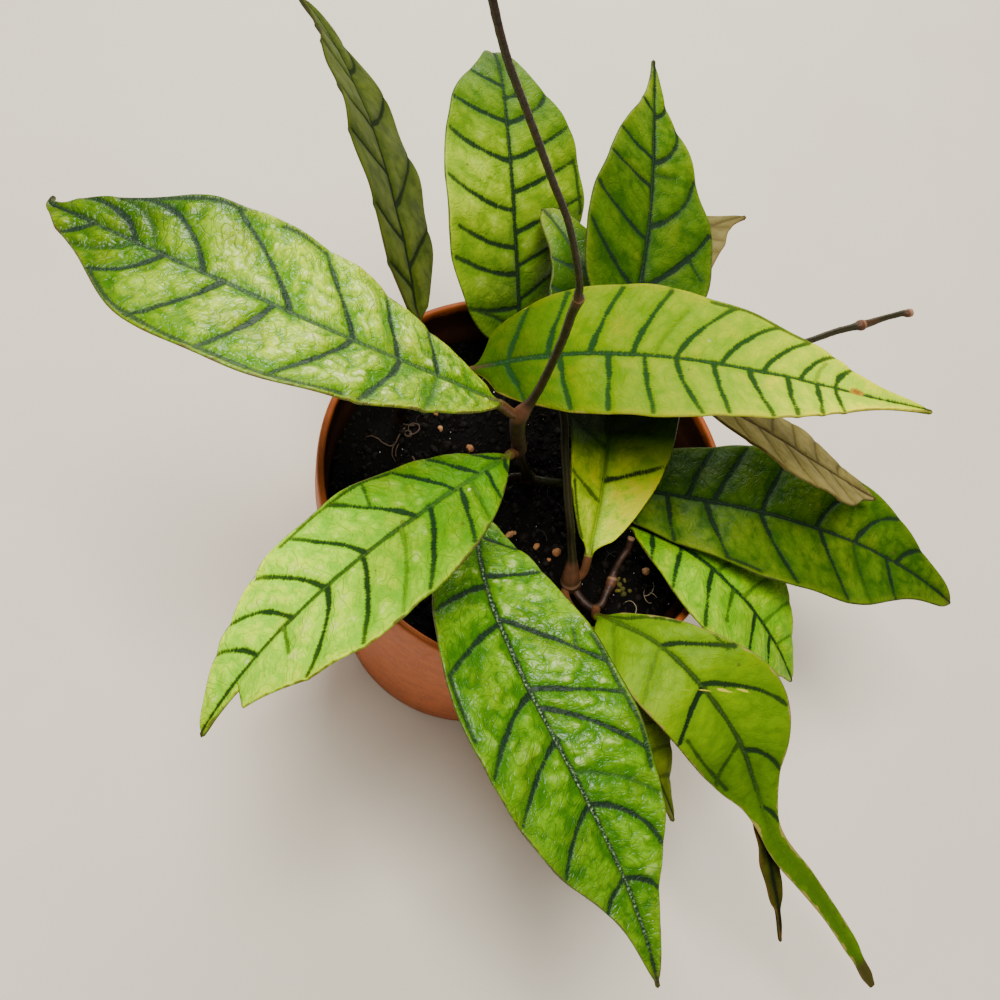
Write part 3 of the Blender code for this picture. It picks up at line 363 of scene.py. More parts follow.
# Leaf finishes: the colours of the blade's hollows and of its panes, between which its mottling and its
# painted light and shade mix, of its yellowing, its veins, its underside and its worn rim, then how much it
# yellows, browns at the margin, is specked and wrinkled in mm, how strong the painted sheen on its midrib
# is, how much it shines and how roughly.
FINISHES = {
    "fresh": dict(
        deep=(0.036, 0.132, 0.000), bright=(0.225, 0.395, 0.000), aged=(0.26, 0.30, 0.000),
        vein=(0.007, 0.024, 0.009), under=(0.10, 0.17, 0.02), rim=(0.10, 0.07, 0.018), yellowing=0.35,
        browning=0.4, specks=0.25, wrinkle=0.40, flecks=0.25, gloss=0.26, rough=0.24),
    "bright": dict(
        deep=(0.070, 0.240, 0.000), bright=(0.170, 0.370, 0.000), aged=(0.27, 0.34, 0.000),
        vein=(0.007, 0.028, 0.010), under=(0.11, 0.18, 0.02), rim=(0.10, 0.08, 0.02), yellowing=0.3,
        browning=0.5, specks=0.3, wrinkle=0.46, flecks=0.1, gloss=0.05, rough=0.34),
    "yellow": dict(
        deep=(0.135, 0.268, 0.000), bright=(0.245, 0.355, 0.000), aged=(0.34, 0.35, 0.000),
        vein=(0.010, 0.045, 0.010), under=(0.13, 0.19, 0.02), rim=(0.30, 0.26, 0.04), yellowing=0.6,
        browning=0.3, specks=0.4, wrinkle=0.22, flecks=0.1, gloss=0.03, rough=0.40),
    "olive": dict(
        deep=(0.036, 0.056, 0.005), bright=(0.084, 0.112, 0.012), aged=(0.09, 0.12, 0.008),
        vein=(0.010, 0.018, 0.006), under=(0.05, 0.065, 0.018), rim=(0.05, 0.04, 0.012), yellowing=0.15,
        browning=0.2, specks=0.2, wrinkle=0.10, flecks=0.0, gloss=0.02, rough=0.45),
    "mid": dict(
        deep=(0.044, 0.120, 0.002), bright=(0.112, 0.215, 0.005), aged=(0.16, 0.25, 0.004),
        vein=(0.008, 0.026, 0.010), under=(0.09, 0.15, 0.02), rim=(0.08, 0.09, 0.02), yellowing=0.15,
        browning=0.25, specks=0.4, wrinkle=0.24, flecks=0.1, gloss=0.10, rough=0.38),
    "dark": dict(
        deep=(0.022, 0.074, 0.001), bright=(0.070, 0.148, 0.002), aged=(0.15, 0.21, 0.003),
        vein=(0.007, 0.020, 0.008), under=(0.08, 0.13, 0.02), rim=(0.06, 0.07, 0.016), yellowing=0.45,
        browning=0.3, specks=0.4, wrinkle=0.22, flecks=0.05, gloss=0.08, rough=0.38),
    "deep": dict(
        deep=(0.028, 0.128, 0.000), bright=(0.138, 0.335, 0.001), aged=(0.20, 0.27, 0.003),
        vein=(0.006, 0.020, 0.009), under=(0.09, 0.15, 0.02), rim=(0.09, 0.07, 0.018), yellowing=0.25,
        browning=0.3, specks=0.25, wrinkle=0.36, flecks=1.0, gloss=0.24, rough=0.24),
    "light": dict(
        deep=(0.080, 0.200, 0.001), bright=(0.200, 0.340, 0.002), aged=(0.25, 0.31, 0.003),
        vein=(0.008, 0.030, 0.010), under=(0.11, 0.18, 0.02), rim=(0.09, 0.09, 0.02), yellowing=0.3,
        browning=0.3, specks=0.25, wrinkle=0.22, flecks=0.1, gloss=0.20, rough=0.34),
    "tan": dict(
        deep=(0.170, 0.138, 0.034), bright=(0.270, 0.220, 0.062), aged=(0.26, 0.20, 0.06),
        vein=(0.060, 0.042, 0.016), under=(0.20, 0.16, 0.05), rim=(0.14, 0.09, 0.03), yellowing=0.2,
        browning=0.4, specks=0.2, wrinkle=0.12, flecks=0.0, gloss=0.02, rough=0.45),
    "husk": dict(
        deep=(0.130, 0.105, 0.030), bright=(0.200, 0.168, 0.060), aged=(0.20, 0.15, 0.04),
        vein=(0.090, 0.070, 0.024), under=(0.17, 0.14, 0.05), rim=(0.20, 0.14, 0.05), yellowing=0.2,
        browning=0.4, specks=0.2, wrinkle=0.12, flecks=0.0, gloss=0.02, rough=0.50),
    "shaded": dict(
        deep=(0.065, 0.100, 0.002), bright=(0.125, 0.175, 0.004), aged=(0.18, 0.20, 0.005),
        vein=(0.020, 0.032, 0.006), under=(0.08, 0.10, 0.02), rim=(0.14, 0.11, 0.02), yellowing=0.3,
        browning=0.3, specks=0.2, wrinkle=0.08, flecks=0.0, gloss=0.02, rough=0.45),
    "torn": dict(
        deep=(0.085, 0.195, 0.000), bright=(0.140, 0.285, 0.000), aged=(0.24, 0.29, 0.003),
        vein=(0.009, 0.026, 0.008), under=(0.05, 0.06, 0.02), rim=(0.34, 0.26, 0.07), yellowing=0.15,
        browning=0.85, specks=0.7, wrinkle=0.20, flecks=0.1, gloss=0.06, rough=0.40),
    # The flap's colours are those of a dark underside, darkened further as painted shade where it hangs under
    # the torn blade.
    "flap": dict(
        deep=(0.022, 0.030, 0.003), bright=(0.050, 0.070, 0.006), aged=(0.12, 0.07, 0.012),
        vein=(0.010, 0.014, 0.006), under=(0.03, 0.036, 0.010), rim=(0.12, 0.06, 0.015), yellowing=0.3,
        browning=0.4, specks=0.4, wrinkle=0.12, flecks=0.0, gloss=0.02, rough=0.45),
}

# Stems, each a route of points in mm with the radius there: the first point is the buried foot.
LEADER = [
    ((1.5, 4.5, 82.5), 1.7), ((1.5, 4.5, 94.0), 1.7), ((1.0, 3.0, 97.5), 2.2), ((0.0, 1.0, 101.0), 2.3),
    ((-0.5, -1.5, 107.0), 1.6), ((-2.5, -7.5, 121.0), 1.5), ((-4.5, -14.5, 137.0), 1.5),
    ((-5.5, -17.0, 143.5), 1.7), ((-5.5, -18.5, 147.0), 2.1), ((-6.0, -19.0, 150.0), 1.9),
    ((-7.5, -20.5, 157.0), 1.9), ((-8.5, -21.0, 162.5), 2.1), ((-8.5, -21.0, 166.0), 2.0),
    ((-7.5, -19.5, 171.0), 1.3), ((-7.0, -19.0, 180.0), 1.15), ((-7.0, -20.0, 198.0), 1.15),
    ((-7.5, -20.5, 208.0), 1.2), ((-7.5, -21.5, 213.5), 1.3), ((-7.5, -21.5, 215.5), 1.5),
    ((-8.0, -22.0, 217.5), 1.1), ((-8.5, -22.5, 221.0), 0.9), ((-11.0, -24.5, 230.0), 0.9),
    ((-15.0, -28.0, 243.0), 0.85), ((-20.0, -31.5, 255.0), 0.85), ((-26.0, -37.5, 272.0), 0.8),
    ((-31.0, -42.5, 286.0), 0.8), ((-34.5, -45.5, 297.0), 0.8), ((-36.5, -46.5, 303.0), 0.85),
    ((-37.0, -47.5, 305.5), 1.3), ((-37.5, -48.5, 308.0), 1.0), ((-38.5, -50.0, 312.0), 0.5),
]
LOW_VINE = [
    ((24.5, -21.0, 82.5), 1.9), ((24.5, -21.0, 94.5), 1.9), ((24.5, -21.5, 96.5), 2.5),
    ((24.0, -22.5, 99.0), 3.1), ((23.0, -22.5, 102.5), 2.6), ((21.0, -20.0, 107.5), 1.6),
    ((18.0, -18.0, 114.0), 1.45), ((16.0, -17.5, 120.0), 1.4), ((12.5, -15.5, 127.0), 1.4),
    ((9.0, -12.0, 133.0), 1.35), ((5.5, -8.0, 138.0), 1.35), ((2.5, -3.5, 142.0), 1.3),
    ((-0.5, 0.0, 145.0), 1.3), ((-1.5, 3.0, 148.0), 1.6), ((0.0, 7.0, 150.5), 1.4),
    ((4.0, 11.0, 151.5), 1.2), ((8.5, 13.5, 151.0), 1.8), ((12.5, 15.0, 151.0), 1.2),
    ((16.5, 16.0, 151.0), 1.8), ((19.5, 17.5, 150.5), 1.7), ((24.0, 22.0, 150.0), 1.1),
    ((30.0, 28.5, 149.5), 1.0), ((36.0, 35.0, 149.0), 1.0), ((44.0, 42.0, 149.5), 1.0),
    ((52.5, 50.0, 150.0), 1.0), ((58.5, 57.0, 150.0), 1.05), ((63.0, 61.5, 150.0), 1.15),
    ((64.5, 63.0, 150.0), 1.75), ((66.5, 65.0, 150.0), 1.3), ((70.5, 69.5, 150.0), 0.95),
    ((74.5, 73.5, 150.0), 1.0), ((76.0, 74.5, 150.0), 1.5), ((77.0, 75.5, 150.0), 1.1),
]
STUB = [
    ((24.0, -22.5, 99.0), 1.4), ((27.0, -24.5, 99.0), 1.35), ((30.0, -26.0, 99.0), 1.35),
    ((32.5, -26.5, 99.5), 1.4), ((34.0, -24.5, 100.0), 1.3), ((34.0, -21.5, 101.0), 1.3),
    ((34.0, -18.0, 102.0), 1.7), ((33.5, -15.5, 103.0), 1.2), ((33.5, -12.5, 105.0), 1.15),
    ((34.0, -9.0, 107.0), 1.15), ((33.5, -6.5, 109.5), 1.2),
]
LEFT_SHOOT = [
    ((-41.0, 5.0, 82.5), 1.7), ((-41.0, 5.0, 94.0), 1.7), ((-41.0, 4.5, 98.0), 1.6),
    ((-40.0, 2.5, 112.0), 1.5), ((-39.0, 0.0, 126.0), 1.5), ((-38.5, -1.0, 133.0), 1.8),
    ((-37.5, -2.5, 136.5), 1.9), ((-35.0, -6.5, 142.0), 1.4), ((-32.0, -11.5, 148.0), 1.6),
    ((-30.5, -13.5, 150.5), 1.8), ((-29.5, -14.5, 153.0), 1.2),
]
BACK_SHOOT = [
    ((-14.5, 37.5, 82.5), 1.6), ((-14.5, 37.5, 94.0), 1.6), ((-15.0, 38.0, 96.0), 1.8),
    ((-16.0, 38.5, 99.0), 2.1), ((-15.5, 38.0, 102.0), 1.4), ((-13.5, 37.5, 105.0), 1.2),
]
RIGHT_SHOOT = [
    ((22.5, 1.5, 82.5), 1.6), ((22.5, 1.5, 94.0), 1.6), ((23.0, 1.0, 96.5), 1.7),
    ((23.5, -0.5, 100.5), 2.0), ((23.0, -1.5, 102.5), 1.2), ((22.0, -2.0, 104.0), 0.9),
]
STEMS = {
    "leader_vine": [LEADER],
    "low_vine": [LOW_VINE, STUB],
    "left_shoot": [LEFT_SHOOT],
    "back_shoot": [BACK_SHOOT],
    "right_shoot": [RIGHT_SHOOT],
}
# The space between a stem's points, its sides, and its ridges and grain, mm. Six ridges run round it.
STEM_STEP = 0.4
STEM_SIDES = 18
STEM_RIDGE = 0.05
STEM_GRAIN = 0.22
RIDGE_ANGLE = 12 * math.pi
# Between its joints a stem thinner than this is slimmed by up to this share, reached this much below.
SLIM_UNDER = 1.75
SLIM_SHARE = 0.18
SLIM_OVER = 0.25
# A joint is where a stem is this much thicker than it is within this reach, mm, on either side. A
# scar rings it at its far end, this far raised and half this wide.
JOINT_SWELL = 1.1
JOINT_REACH = 4.0
SCAR_RAISE = 0.16
SCAR_HALF = 0.32
# The stretches of each route of a stem that are still green, as shares of its length.
GREEN_STRETCHES = {
    "low_vine": [[(0.08, 1.0)], []],
    "leader_vine": [[(0.0, 0.22)]],
    "left_shoot": [[(0.3, 0.6)]],
}
# A stem's colours: its bark dark and light, its young green dark and light, its joints and its scars.
STEM_BARK = ((0.018, 0.009, 0.005), (0.046, 0.020, 0.010))
STEM_GREEN = ((0.012, 0.012, 0.004), (0.036, 0.034, 0.011))
STEM_JOINT = (0.105, 0.040, 0.018)
STEM_SCAR = (0.36, 0.20, 0.11)

# Pot, mm. COLLAR is the height at which its collar starts.
POT_HEIGHT = 105.0
RIM_RADIUS = 60.0
RIM_WALL = 2.2
COLLAR = POT_HEIGHT - 12.0
BODY_TOP_RADIUS = 57.2
BASE_RADIUS = 42.0
POT_WALL = 1.8
FLOOR = 2.2
POT_STEPS = 180
DRAIN_HOLES = 6
DRAIN_RADIUS = 4.0
DRAIN_RING = 27.0
# The pot's colours: its plastic dark and light, and the painted shade on its inside below the rim.
PLASTIC = ((0.42, 0.092, 0.015), (0.52, 0.122, 0.020))
PAINTED_INNER_SHADE = (0.012, 0.007, 0.004)
# Soil, mm: its height in the middle and at the wall, where its fall to the wall starts and how far it
# goes, how high its smooth side reaches, and how far it stays off the wall and the floor.
SOIL_TOP = 91.5
SOIL_EDGE = 90.0
SOIL_FALL_FROM = 42
SOIL_FALL_OVER = 9
SOIL_SIDE = SOIL_EDGE - 3
SOIL_GAP = 0.45
SOIL_LIFT = 0.3
SOIL_STEPS = 200
SOIL_RING = 1.0
# Colours of loose bits, dark and light.
# EARTH and CRUMB are near black: the soil's own dark colour, darkened further as painted shade from the
# leaves and pot over it.
EARTH = ((0.0012, 0.0010, 0.0007), (0.006, 0.005, 0.0035))
CRUMB = ((0.0015, 0.0012, 0.0009), (0.014, 0.010, 0.007))
GRIT = ((0.30, 0.28, 0.25), (0.75, 0.72, 0.68))
CLAY = ((0.28, 0.10, 0.03), (0.60, 0.32, 0.14))
MOSS = ((0.035, 0.042, 0.008), (0.16, 0.13, 0.02))
PALE_ROOT = ((0.06, 0.035, 0.02), (0.20, 0.13, 0.09))
DARK_ROOT = ((0.02, 0.015, 0.012), (0.07, 0.055, 0.045))
STRAW = ((0.22, 0.17, 0.09), (0.55, 0.46, 0.28))
# Loose soil: its name, bits to the square mm, smallest and largest radius in mm, facets, seed,
# roughness, colours and gloss.
CRUMBS = [
    ("fine_crumbs", 0.32, 0.25, 0.75, 1, 3, 0.6, CRUMB, 0.12),
    ("coarse_crumbs", 0.045, 0.8, 1.7, 2, 5, 0.6, CRUMB, 0.12),
    ("pale_grit", 0.012, 0.12, 0.3, 1, 9, 0.4, GRIT, 0.5),
]
# Bits on the soil as x, y and radius in mm.
CLAY_LUMPS = [
    (2.8, -12.9, 1.3), (4.0, -11.6, 0.8), (11.2, -13.0, 1.0), (17.3, -11.5, 1.25), (43.2, -4.8, 1.2),
    (-18.9, 6.6, 1.3), (-32.4, 12.4, 0.8), (-29.2, 8.1, 0.8), (16.2, -14.6, 0.5), (37.0, 30.0, 1.2),
    (33.0, 33.5, 0.9), (40.5, 25.5, 0.8), (-10.0, -38.0, 1.0), (-35.0, -20.0, 0.9),
]
MOSS_TUFTS = [
    (36.5, -11.2, 0.9), (37.6, -12.4, 1.1), (38.9, -13.2, 0.8), (39.8, -14.7, 0.9), (37.9, -14.4, 0.8),
    (36.2, -13.4, 0.7), (41.0, -12.6, 0.7), (38.4, -10.4, 0.6), (35.2, -12.2, 0.6),
]
# Threads: a name, how many, their length and radius in mm, where they lie, their spread, seed and
# colours. Then for all of them: how far from the axis they end, their step and grain in mm, and
# their sides.
ROOTS = [
    ("curly_roots", 7, 11.0, 0.30, (-36.5, 0.5), 3.5, 11, PALE_ROOT),
    ("middle_roots", 8, 9.0, 0.20, (-2.0, -1.0), 5.0, 12, DARK_ROOT),
    ("pale_straws", 5, 6.0, 0.16, (46.0, -14.0), 2.4, 13, STRAW),
    ("fine_roots", 26, 8.0, 0.14, (0.0, 0.0), 26.0, 14, DARK_ROOT),
]
ROOT_LIMIT = 50.5
ROOT_STEP = 0.5
ROOT_GRAIN = 0.05
ROOT_SIDES = 6

# The studio. Lights: a name, place and size in mm, power in W and colour. Both aim at the plant's
# middle. The floor reaches 2 m from the pot on every side, and its colour is mottled between two.
LIGHTS = [
    ("ceiling", (-160, -220, 1600), 620, 35.0, (1.0, 0.98, 0.93)),
    ("window", (-230, 700, 560), 340, 6.5, (1.0, 1.0, 0.96)),
]
PLANT_MIDDLE = (0, 0, 130)
SKY = (1.0, 0.98, 0.94)
SKY_STRENGTH = 0.15
FLOOR_HALF = 2
FLOOR_COLOURS = ((0.77, 0.70, 0.57), (0.79, 0.72, 0.59))
# The camera: its place and focal length in mm, and which way the right and top of the picture lie.
CAMERA_PLACE = (-4.1, -183.7, 426.1)
CAMERA_LENS = 46.8
CAMERA_RIGHT = (0.8999, 0.3844, 0.2061)
CAMERA_UP = (-0.4362, 0.7931, 0.4252)


def three_way(values, t):
    """A smooth value along a blade, from its values at the base, the middle and the tip."""
    base, middle, tip = values
    return base * (1 - t) * (1 - 2 * t) + 4 * middle * t * (1 - t) + tip * t * (2 * t - 1)


def smoothly(stations, t):
    """A value read from a list of stations, eased so that no kink shows at a station."""
    places, values = np.array(stations, float).T
    shifts = np.linspace(-STATION_EASE, STATION_EASE, 7)
    return np.mean([np.interp(t + shift, places, values) for shift in shifts], axis=0)


def averaged(rows, width):
    """Rows along a line, each the mean of the rows round it."""
    kernel = np.ones(width) / width
    padded = np.pad(rows, ((width // 2, width // 2), (0, 0)), mode="edge")
    return np.stack([np.convolve(column, kernel, "valid") for column in padded.T], axis=1)


def unit(rows):
    return rows / np.linalg.norm(rows, axis=-1, keepdims=True)


def directions(heading, pitch, roll):
    """A blade's forward, left and up directions along it, from angles in degrees."""
    h, p, r = (np.radians(values)[:, None] for values in (heading, pitch, roll))
    forward = np.hstack([np.cos(p) * np.cos(h), np.cos(p) * np.sin(h), np.sin(p)])
    level = np.hstack([-np.sin(h), np.cos(h), 0 * h])
    above = np.cross(forward, level)
    left = np.cos(r) * level + np.sin(r) * above
    return forward, left, np.cross(forward, left)


def leaf_outline(t, design):
    """Half the blade's width at t from its base to its tip."""
    power = math.log(0.5) / math.log(design["widest"])
    half = design["width"] / 2 * np.sin(np.pi * np.clip(t, 0, 1) ** power) ** design["full"]
    drawn_in = np.clip((t - TIP_FROM) / (1 - TIP_FROM), 0, 1)
    half = np.maximum(half * (1 - TIP_PINCH * drawn_in ** 2 * (1 - drawn_in)), TIP_HALF)
    if "point" in design:
        place, sharp = design["point"]
        half = np.maximum(half * (1 - sharp * np.clip((t - place) / (POINT_END - place), 0, 1)), TIP_HALF)
    return half


def necked(t, half, design):
    """Half a width where the blade narrows to a neck, or with a negative depth widens."""
    if "neck" not in design:
        return half
    place, wide, depth = design["neck"]
    return np.maximum(half * (1 - depth * np.exp(-((t - place) / wide) ** 2)), TIP_HALF)


def torn_back(t, half, design):
    """Half a width where a tear has taken the margin off, from the notch on towards the tip."""
    if "notch" not in design:
        return half
    place, strip = design["notch"]
    left_over = TIP_HALF + strip * (1 - t) / (1 - place)
    return np.where(t > place, np.minimum(half, left_over), half)


def torn_slip(t, across, design):
    """How far in mm the loose lobe beside a notch has slid towards the tip."""
    if "notch" not in design:
        return 0 * t * across
    place = design["notch"][0]
    loose = np.clip((t - place + LOBE_SHARE) / LOBE_SHARE, 0, 1) ** 2 * (t <= place)
    return design["lip"] * loose * np.clip(-across, 0, 1)


def leaf_blade(design, grid):
    """A leaf's midline, directions, half widths and fold, row by row."""
    rows = round(design["length"] / grid)
    t = np.linspace(0, 1, rows + 1)
    middle = (t[1:] + t[:-1]) / 2
    hook = design.get("hook", 0)
    heading = three_way(design["heading"], t) + hook * np.clip((t - HOOK_FROM) / (1 - HOOK_FROM), 0, 1)
    ahead = directions(np.interp(middle, t, heading), three_way(design["pitch"], middle), 0 * middle)[0]
    steps = np.vstack([np.zeros(3), np.cumsum(ahead, axis=0) * design["length"] / rows])
    forward, left, above = directions(heading, three_way(design["pitch"], t), three_way(design["roll"], t))
    half = leaf_outline(t, design)
    low, tip = design["fold"]
    return dict(t=t, point=steps + np.array(design["base"], float), forward=forward, left=left, above=above,
                halves=(torn_back(t, half, design), necked(t, half, design)), length=design["length"],
                grid=grid, fold=np.radians(low + (tip - low) * np.maximum(0, 2 * t - 1) ** 2))


def route_points(route, count):
    """Points evenly along a smooth curve through a route, with the share of the way of each."""
    points = np.array(route, float)
    ends = np.vstack([2 * points[0] - points[1], points, 2 * points[-1] - points[-2]])
    lengths = np.linalg.norm(np.diff(points, axis=0), axis=1)
    marks = np.concatenate([[0], np.cumsum(lengths)]) / lengths.sum()
    share = np.linspace(0, 1, count)
    i = np.clip(np.searchsorted(marks, share, side="right") - 1, 0, len(lengths) - 1)
    f = ((share - marks[i]) / (marks[i + 1] - marks[i]))[:, None]
    p0, p1, p2, p3 = (ends[i + k] for k in range(4))
    curve = 0.5 * (2 * p1 + (p2 - p0) * f + (2 * p0 - 5 * p1 + 4 * p2 - p3) * f * f
                   + (3 * p1 - p0 - 3 * p2 + p3) * f ** 3)
    return share, curve


def route_blade(route, roll, far, near, fold):
    """A blade that follows a route, as leaf_blade gives it."""
    length = float(np.linalg.norm(np.diff(np.array(route, float), axis=0), axis=1).sum())
    t, point = route_points(route, round(length / GRID) + 1)
    forward = unit(averaged(np.gradient(point, axis=0), ROUTE_SOFTENING))
    level = unit(np.stack([-forward[:, 1], forward[:, 0], 0 * forward[:, 0]], axis=1))
    up = np.cross(forward, level)
    turn = np.radians(smoothly(roll, t))[:, None]
    left = np.cos(turn) * level + np.sin(turn) * up
    return dict(t=t, point=point, forward=forward, left=left, above=np.cross(forward, left),
                halves=(smoothly(far, t), smoothly(near, t)), length=length, grid=GRID,
                fold=np.full(len(t), math.radians(fold)))


def vein_lines(blade, veins, seed):
    """The veins as flat lines in mm: points, half widths and a strength for each."""
    draws = np.random.default_rng(seed)
    length = blade["length"]

    def flat(t, across):
        half = np.where(across < 0, *(np.interp(t, blade["t"], half) for half in blade["halves"]))
        return np.stack([t * length, across * half], axis=1)

    run = np.linspace(0, 1, 60)
    rib = np.stack([run * length, 0 * run], axis=1)
    rib_strength = np.interp(run, veins.get("rib_places", RIB_PLACES), veins.get("rib", (1, 1, 1)))
    lines = [(rib, RIB_HALF[0] + (RIB_HALF[1] - RIB_HALF[0]) * run, rib_strength)]
    share = np.linspace(0, 1, VEIN_POINTS)
    for side, rows in ((-1, veins["left"]), (1, veins["right"])):
        for row in rows:
            start, end, strength, reach = tuple(row) + (1.0, VEIN_REACH)[len(row) - 2:]
            across = share * reach
            line = flat(start + (end - start) * across ** VEIN_BEND, side * across)
            waves = [np.sin(rate * share + draws.uniform(0, 2 * np.pi)) / rate ** 0.5 for rate in VEIN_WAVES]
            line[:, 0] += VEIN_WANDER * sum(waves) * np.sin(np.pi * share) ** 0.5
            swell = 1 + VEIN_SWELL * np.sin(9 * share + draws.uniform(0, 2 * np.pi))
            wide = np.interp(share, (0, 1), VEIN_HALF) * swell
            fading = strength * (1 - 0.25 * np.clip(share - 0.6, 0, 1))
            lines.append((line, wide * (0.5 + 0.5 * strength), fading))
    for places in veins.get("branches", []):
        line = flat(*np.array(places, float).T)
        lines.append((line, np.full(len(places), 0.8 * VEIN_HALF[1]), np.full(len(places), 0.8)))
    for across, start, end in veins.get("edges", []):
        run = np.linspace(start, end, 20)
        wave = 0.012 * np.sin(40 * run)
        lines.append((flat(run, across + wave), np.full(20, VEIN_HALF[1]), np.full(20, 0.85)))
    return lines


def line_distance(x, y, lines):
    """Each point's distance in mm to the edge of the nearest vein, its strength and the way along it."""
    best = np.full(x.shape, 50.0)
    strength = np.ones(x.shape)
    run = np.zeros(x.shape)
    for points, wide, strong in lines:
        way = 0.0
        for (ax, ay), (bx, by), wa, wb, sa, sb in zip(points, points[1:], wide, wide[1:], strong, strong[1:]):
            dx, dy = bx - ax, by - ay
            step = max(math.hypot(dx, dy), 1e-6)
            f = np.clip(((x - ax) * dx + (y - ay) * dy) / step ** 2, 0, 1)
            gap = np.hypot(x - ax - f * dx, y - ay - f * dy) - (wa + (wb - wa) * f)
            nearer = gap < best
            best = np.where(nearer, gap, best)
            strength = np.where(nearer, sa + (sb - sa) * f, strength)
            run = np.where(nearer, way + f * step, run)
            way += step
    return best, strength, run


def soft_noise(x, y, size, seed):
    """Smooth noise from -1 to 1 over flat places in mm, with lumps about size mm across."""
    draws = np.random.default_rng(seed)
    table = draws.uniform(-1, 1, (NOISE_CELLS, NOISE_CELLS))
    gx, gy = x / size + NOISE_START[0], y / size + NOISE_START[1]
    ix, iy = np.floor(gx).astype(int), np.floor(gy).astype(int)
    fx, fy = gx - ix, gy - iy
    fx = fx * fx * (3 - 2 * fx)
    fy = fy * fy * (3 - 2 * fy)
    corner = [[table[(ix + i) % NOISE_CELLS, (iy + j) % NOISE_CELLS] for j in (0, 1)] for i in (0, 1)]
    low, high = (pair[0] * (1 - fy) + pair[1] * fy for pair in corner)
    return low * (1 - fx) + high * fx


def marked(t, across, marks):
    """From 0 to 1 where marks lie on a blade: share along, place across, two reaches and any slant."""
    found = 0 * t * across
    for mark_t, mark_across, long, wide, *slant in marks:
        lean = sum(slant) * (across - mark_across)
        away = np.hypot((t - mark_t - lean) / long, (across - mark_across) / wide)
        found = np.maximum(found, np.clip(1.5 - away, 0, 1))
    return found


def stalk_curve(node, side, blade):
    """The stalk's bend, from inside the stem that bears it to the blade's base."""
    axis_point = np.array(node[:3], float)
    end = blade["point"][0]
    forward = blade["forward"][0]
    away = end - axis_point
    out = unit(np.array(side or (away[0], away[1], STALK_LEVEL * away[2]), float))
    start = axis_point + out * STALK_DEPTH * node[3]
    reach = np.linalg.norm(end - start)
    f = (np.arange(STALK_ROWS) / STALK_ROWS)[:, None]
    point = ((2 * f ** 3 - 3 * f ** 2 + 1) * start + (f ** 3 - 2 * f ** 2 + f) * reach * out
             + (-2 * f ** 3 + 3 * f ** 2) * end + (f ** 3 - f ** 2) * reach * forward)
    tangent = unit(np.gradient(np.vstack([point, end]), axis=0)[:-1])
    left = blade["left"][0]
    across = unit(left - (tangent @ left)[:, None] * tangent)
    return point, across, np.cross(tangent, across), PETIOLE_RADIUS


def round_rings(point, side, above, radius, count):
    """Round sections of the stalk, each with its points in a blade section's order."""
    angle = np.linspace(0, 2 * np.pi, 2 * count, endpoint=False) + np.pi / (2 * count)
    out = np.cos(angle)[None, :, None] * side[:, None, :]
    up = np.sin(angle)[None, :, None] * above[:, None, :]
    return point[:, None, :] + radius * (out + up)


def dip(gap, half):
    """From 1 in a vein to 0 away from it, over about half a width in mm."""
    return np.exp(-(np.maximum(gap, 0) / half) ** 2)


def blade_relief(blade, x, y, gap, across, look, design, seed):
    """How far the blade's middle layer and its top stand off the plain blade, in mm, and its ripples."""
    t = blade["t"][:, None]
    cycle = 2 * np.pi * design["waves"] * t + design["phase"] + np.where(across < 0, 0.0, WAVE_OFFSET)
    edge = design["wave"] * np.sin(np.pi * np.clip(t, 0, 1)) * across ** 2 * np.sin(cycle)
    panes = look["pane"] * (1 - np.exp(-(np.maximum(gap, 0) / PANE_REACH) ** 1.3))
    lumps = 0.16 * soft_noise(x, y, 9.0, seed) + 0.10 * soft_noise(x, y, 5.0, seed + 1)
    side = np.sign(across) * y
    lean = x - 0.5 * side
    cross = side + 0.5 * x
    stir = 1.3 * soft_noise(x, y, 4.5, seed + 5)
    bubbles = np.abs(soft_noise(1.25 * lean + stir, cross - stir, 4.2, seed + 2))
    wrinkles = np.abs(soft_noise(1.5 * lean - stir, 0.8 * cross + stir, 2.5, seed + 3))
    ripple = 1.5 * bubbles + 0.9 * wrinkles + 0.5 * soft_noise(1.3 * x, y, 3.4, seed + 4) - 0.75
    ripple = ripple * (np.clip(gap / 1.4, 0.1, 1.0) * np.clip(4 * (1 - np.abs(across)), 0.3, 1))
    middle = edge + panes + lumps * np.clip(1.6 * (1 - np.abs(across)), 0, 1)
    return middle, look["ripple"] * ripple - GROOVE_DEPTH * dip(gap, GROOVE_HALF), ripple


def blade_painted_light(blade, across, look):
    """The lightness painted on each point of a blade, mostly light and shade, from the rows of its look."""
    places, *sides = zip(*look.get("tone", [(0, 1, 1), (1, 1, 1)]))
    left, right = (np.interp(blade["t"], places, values)[:, None] for values in sides)
    rightward = np.clip(0.5 + 0.8 * across, 0, 1)
    return left * (1 - rightward) + right * rightward


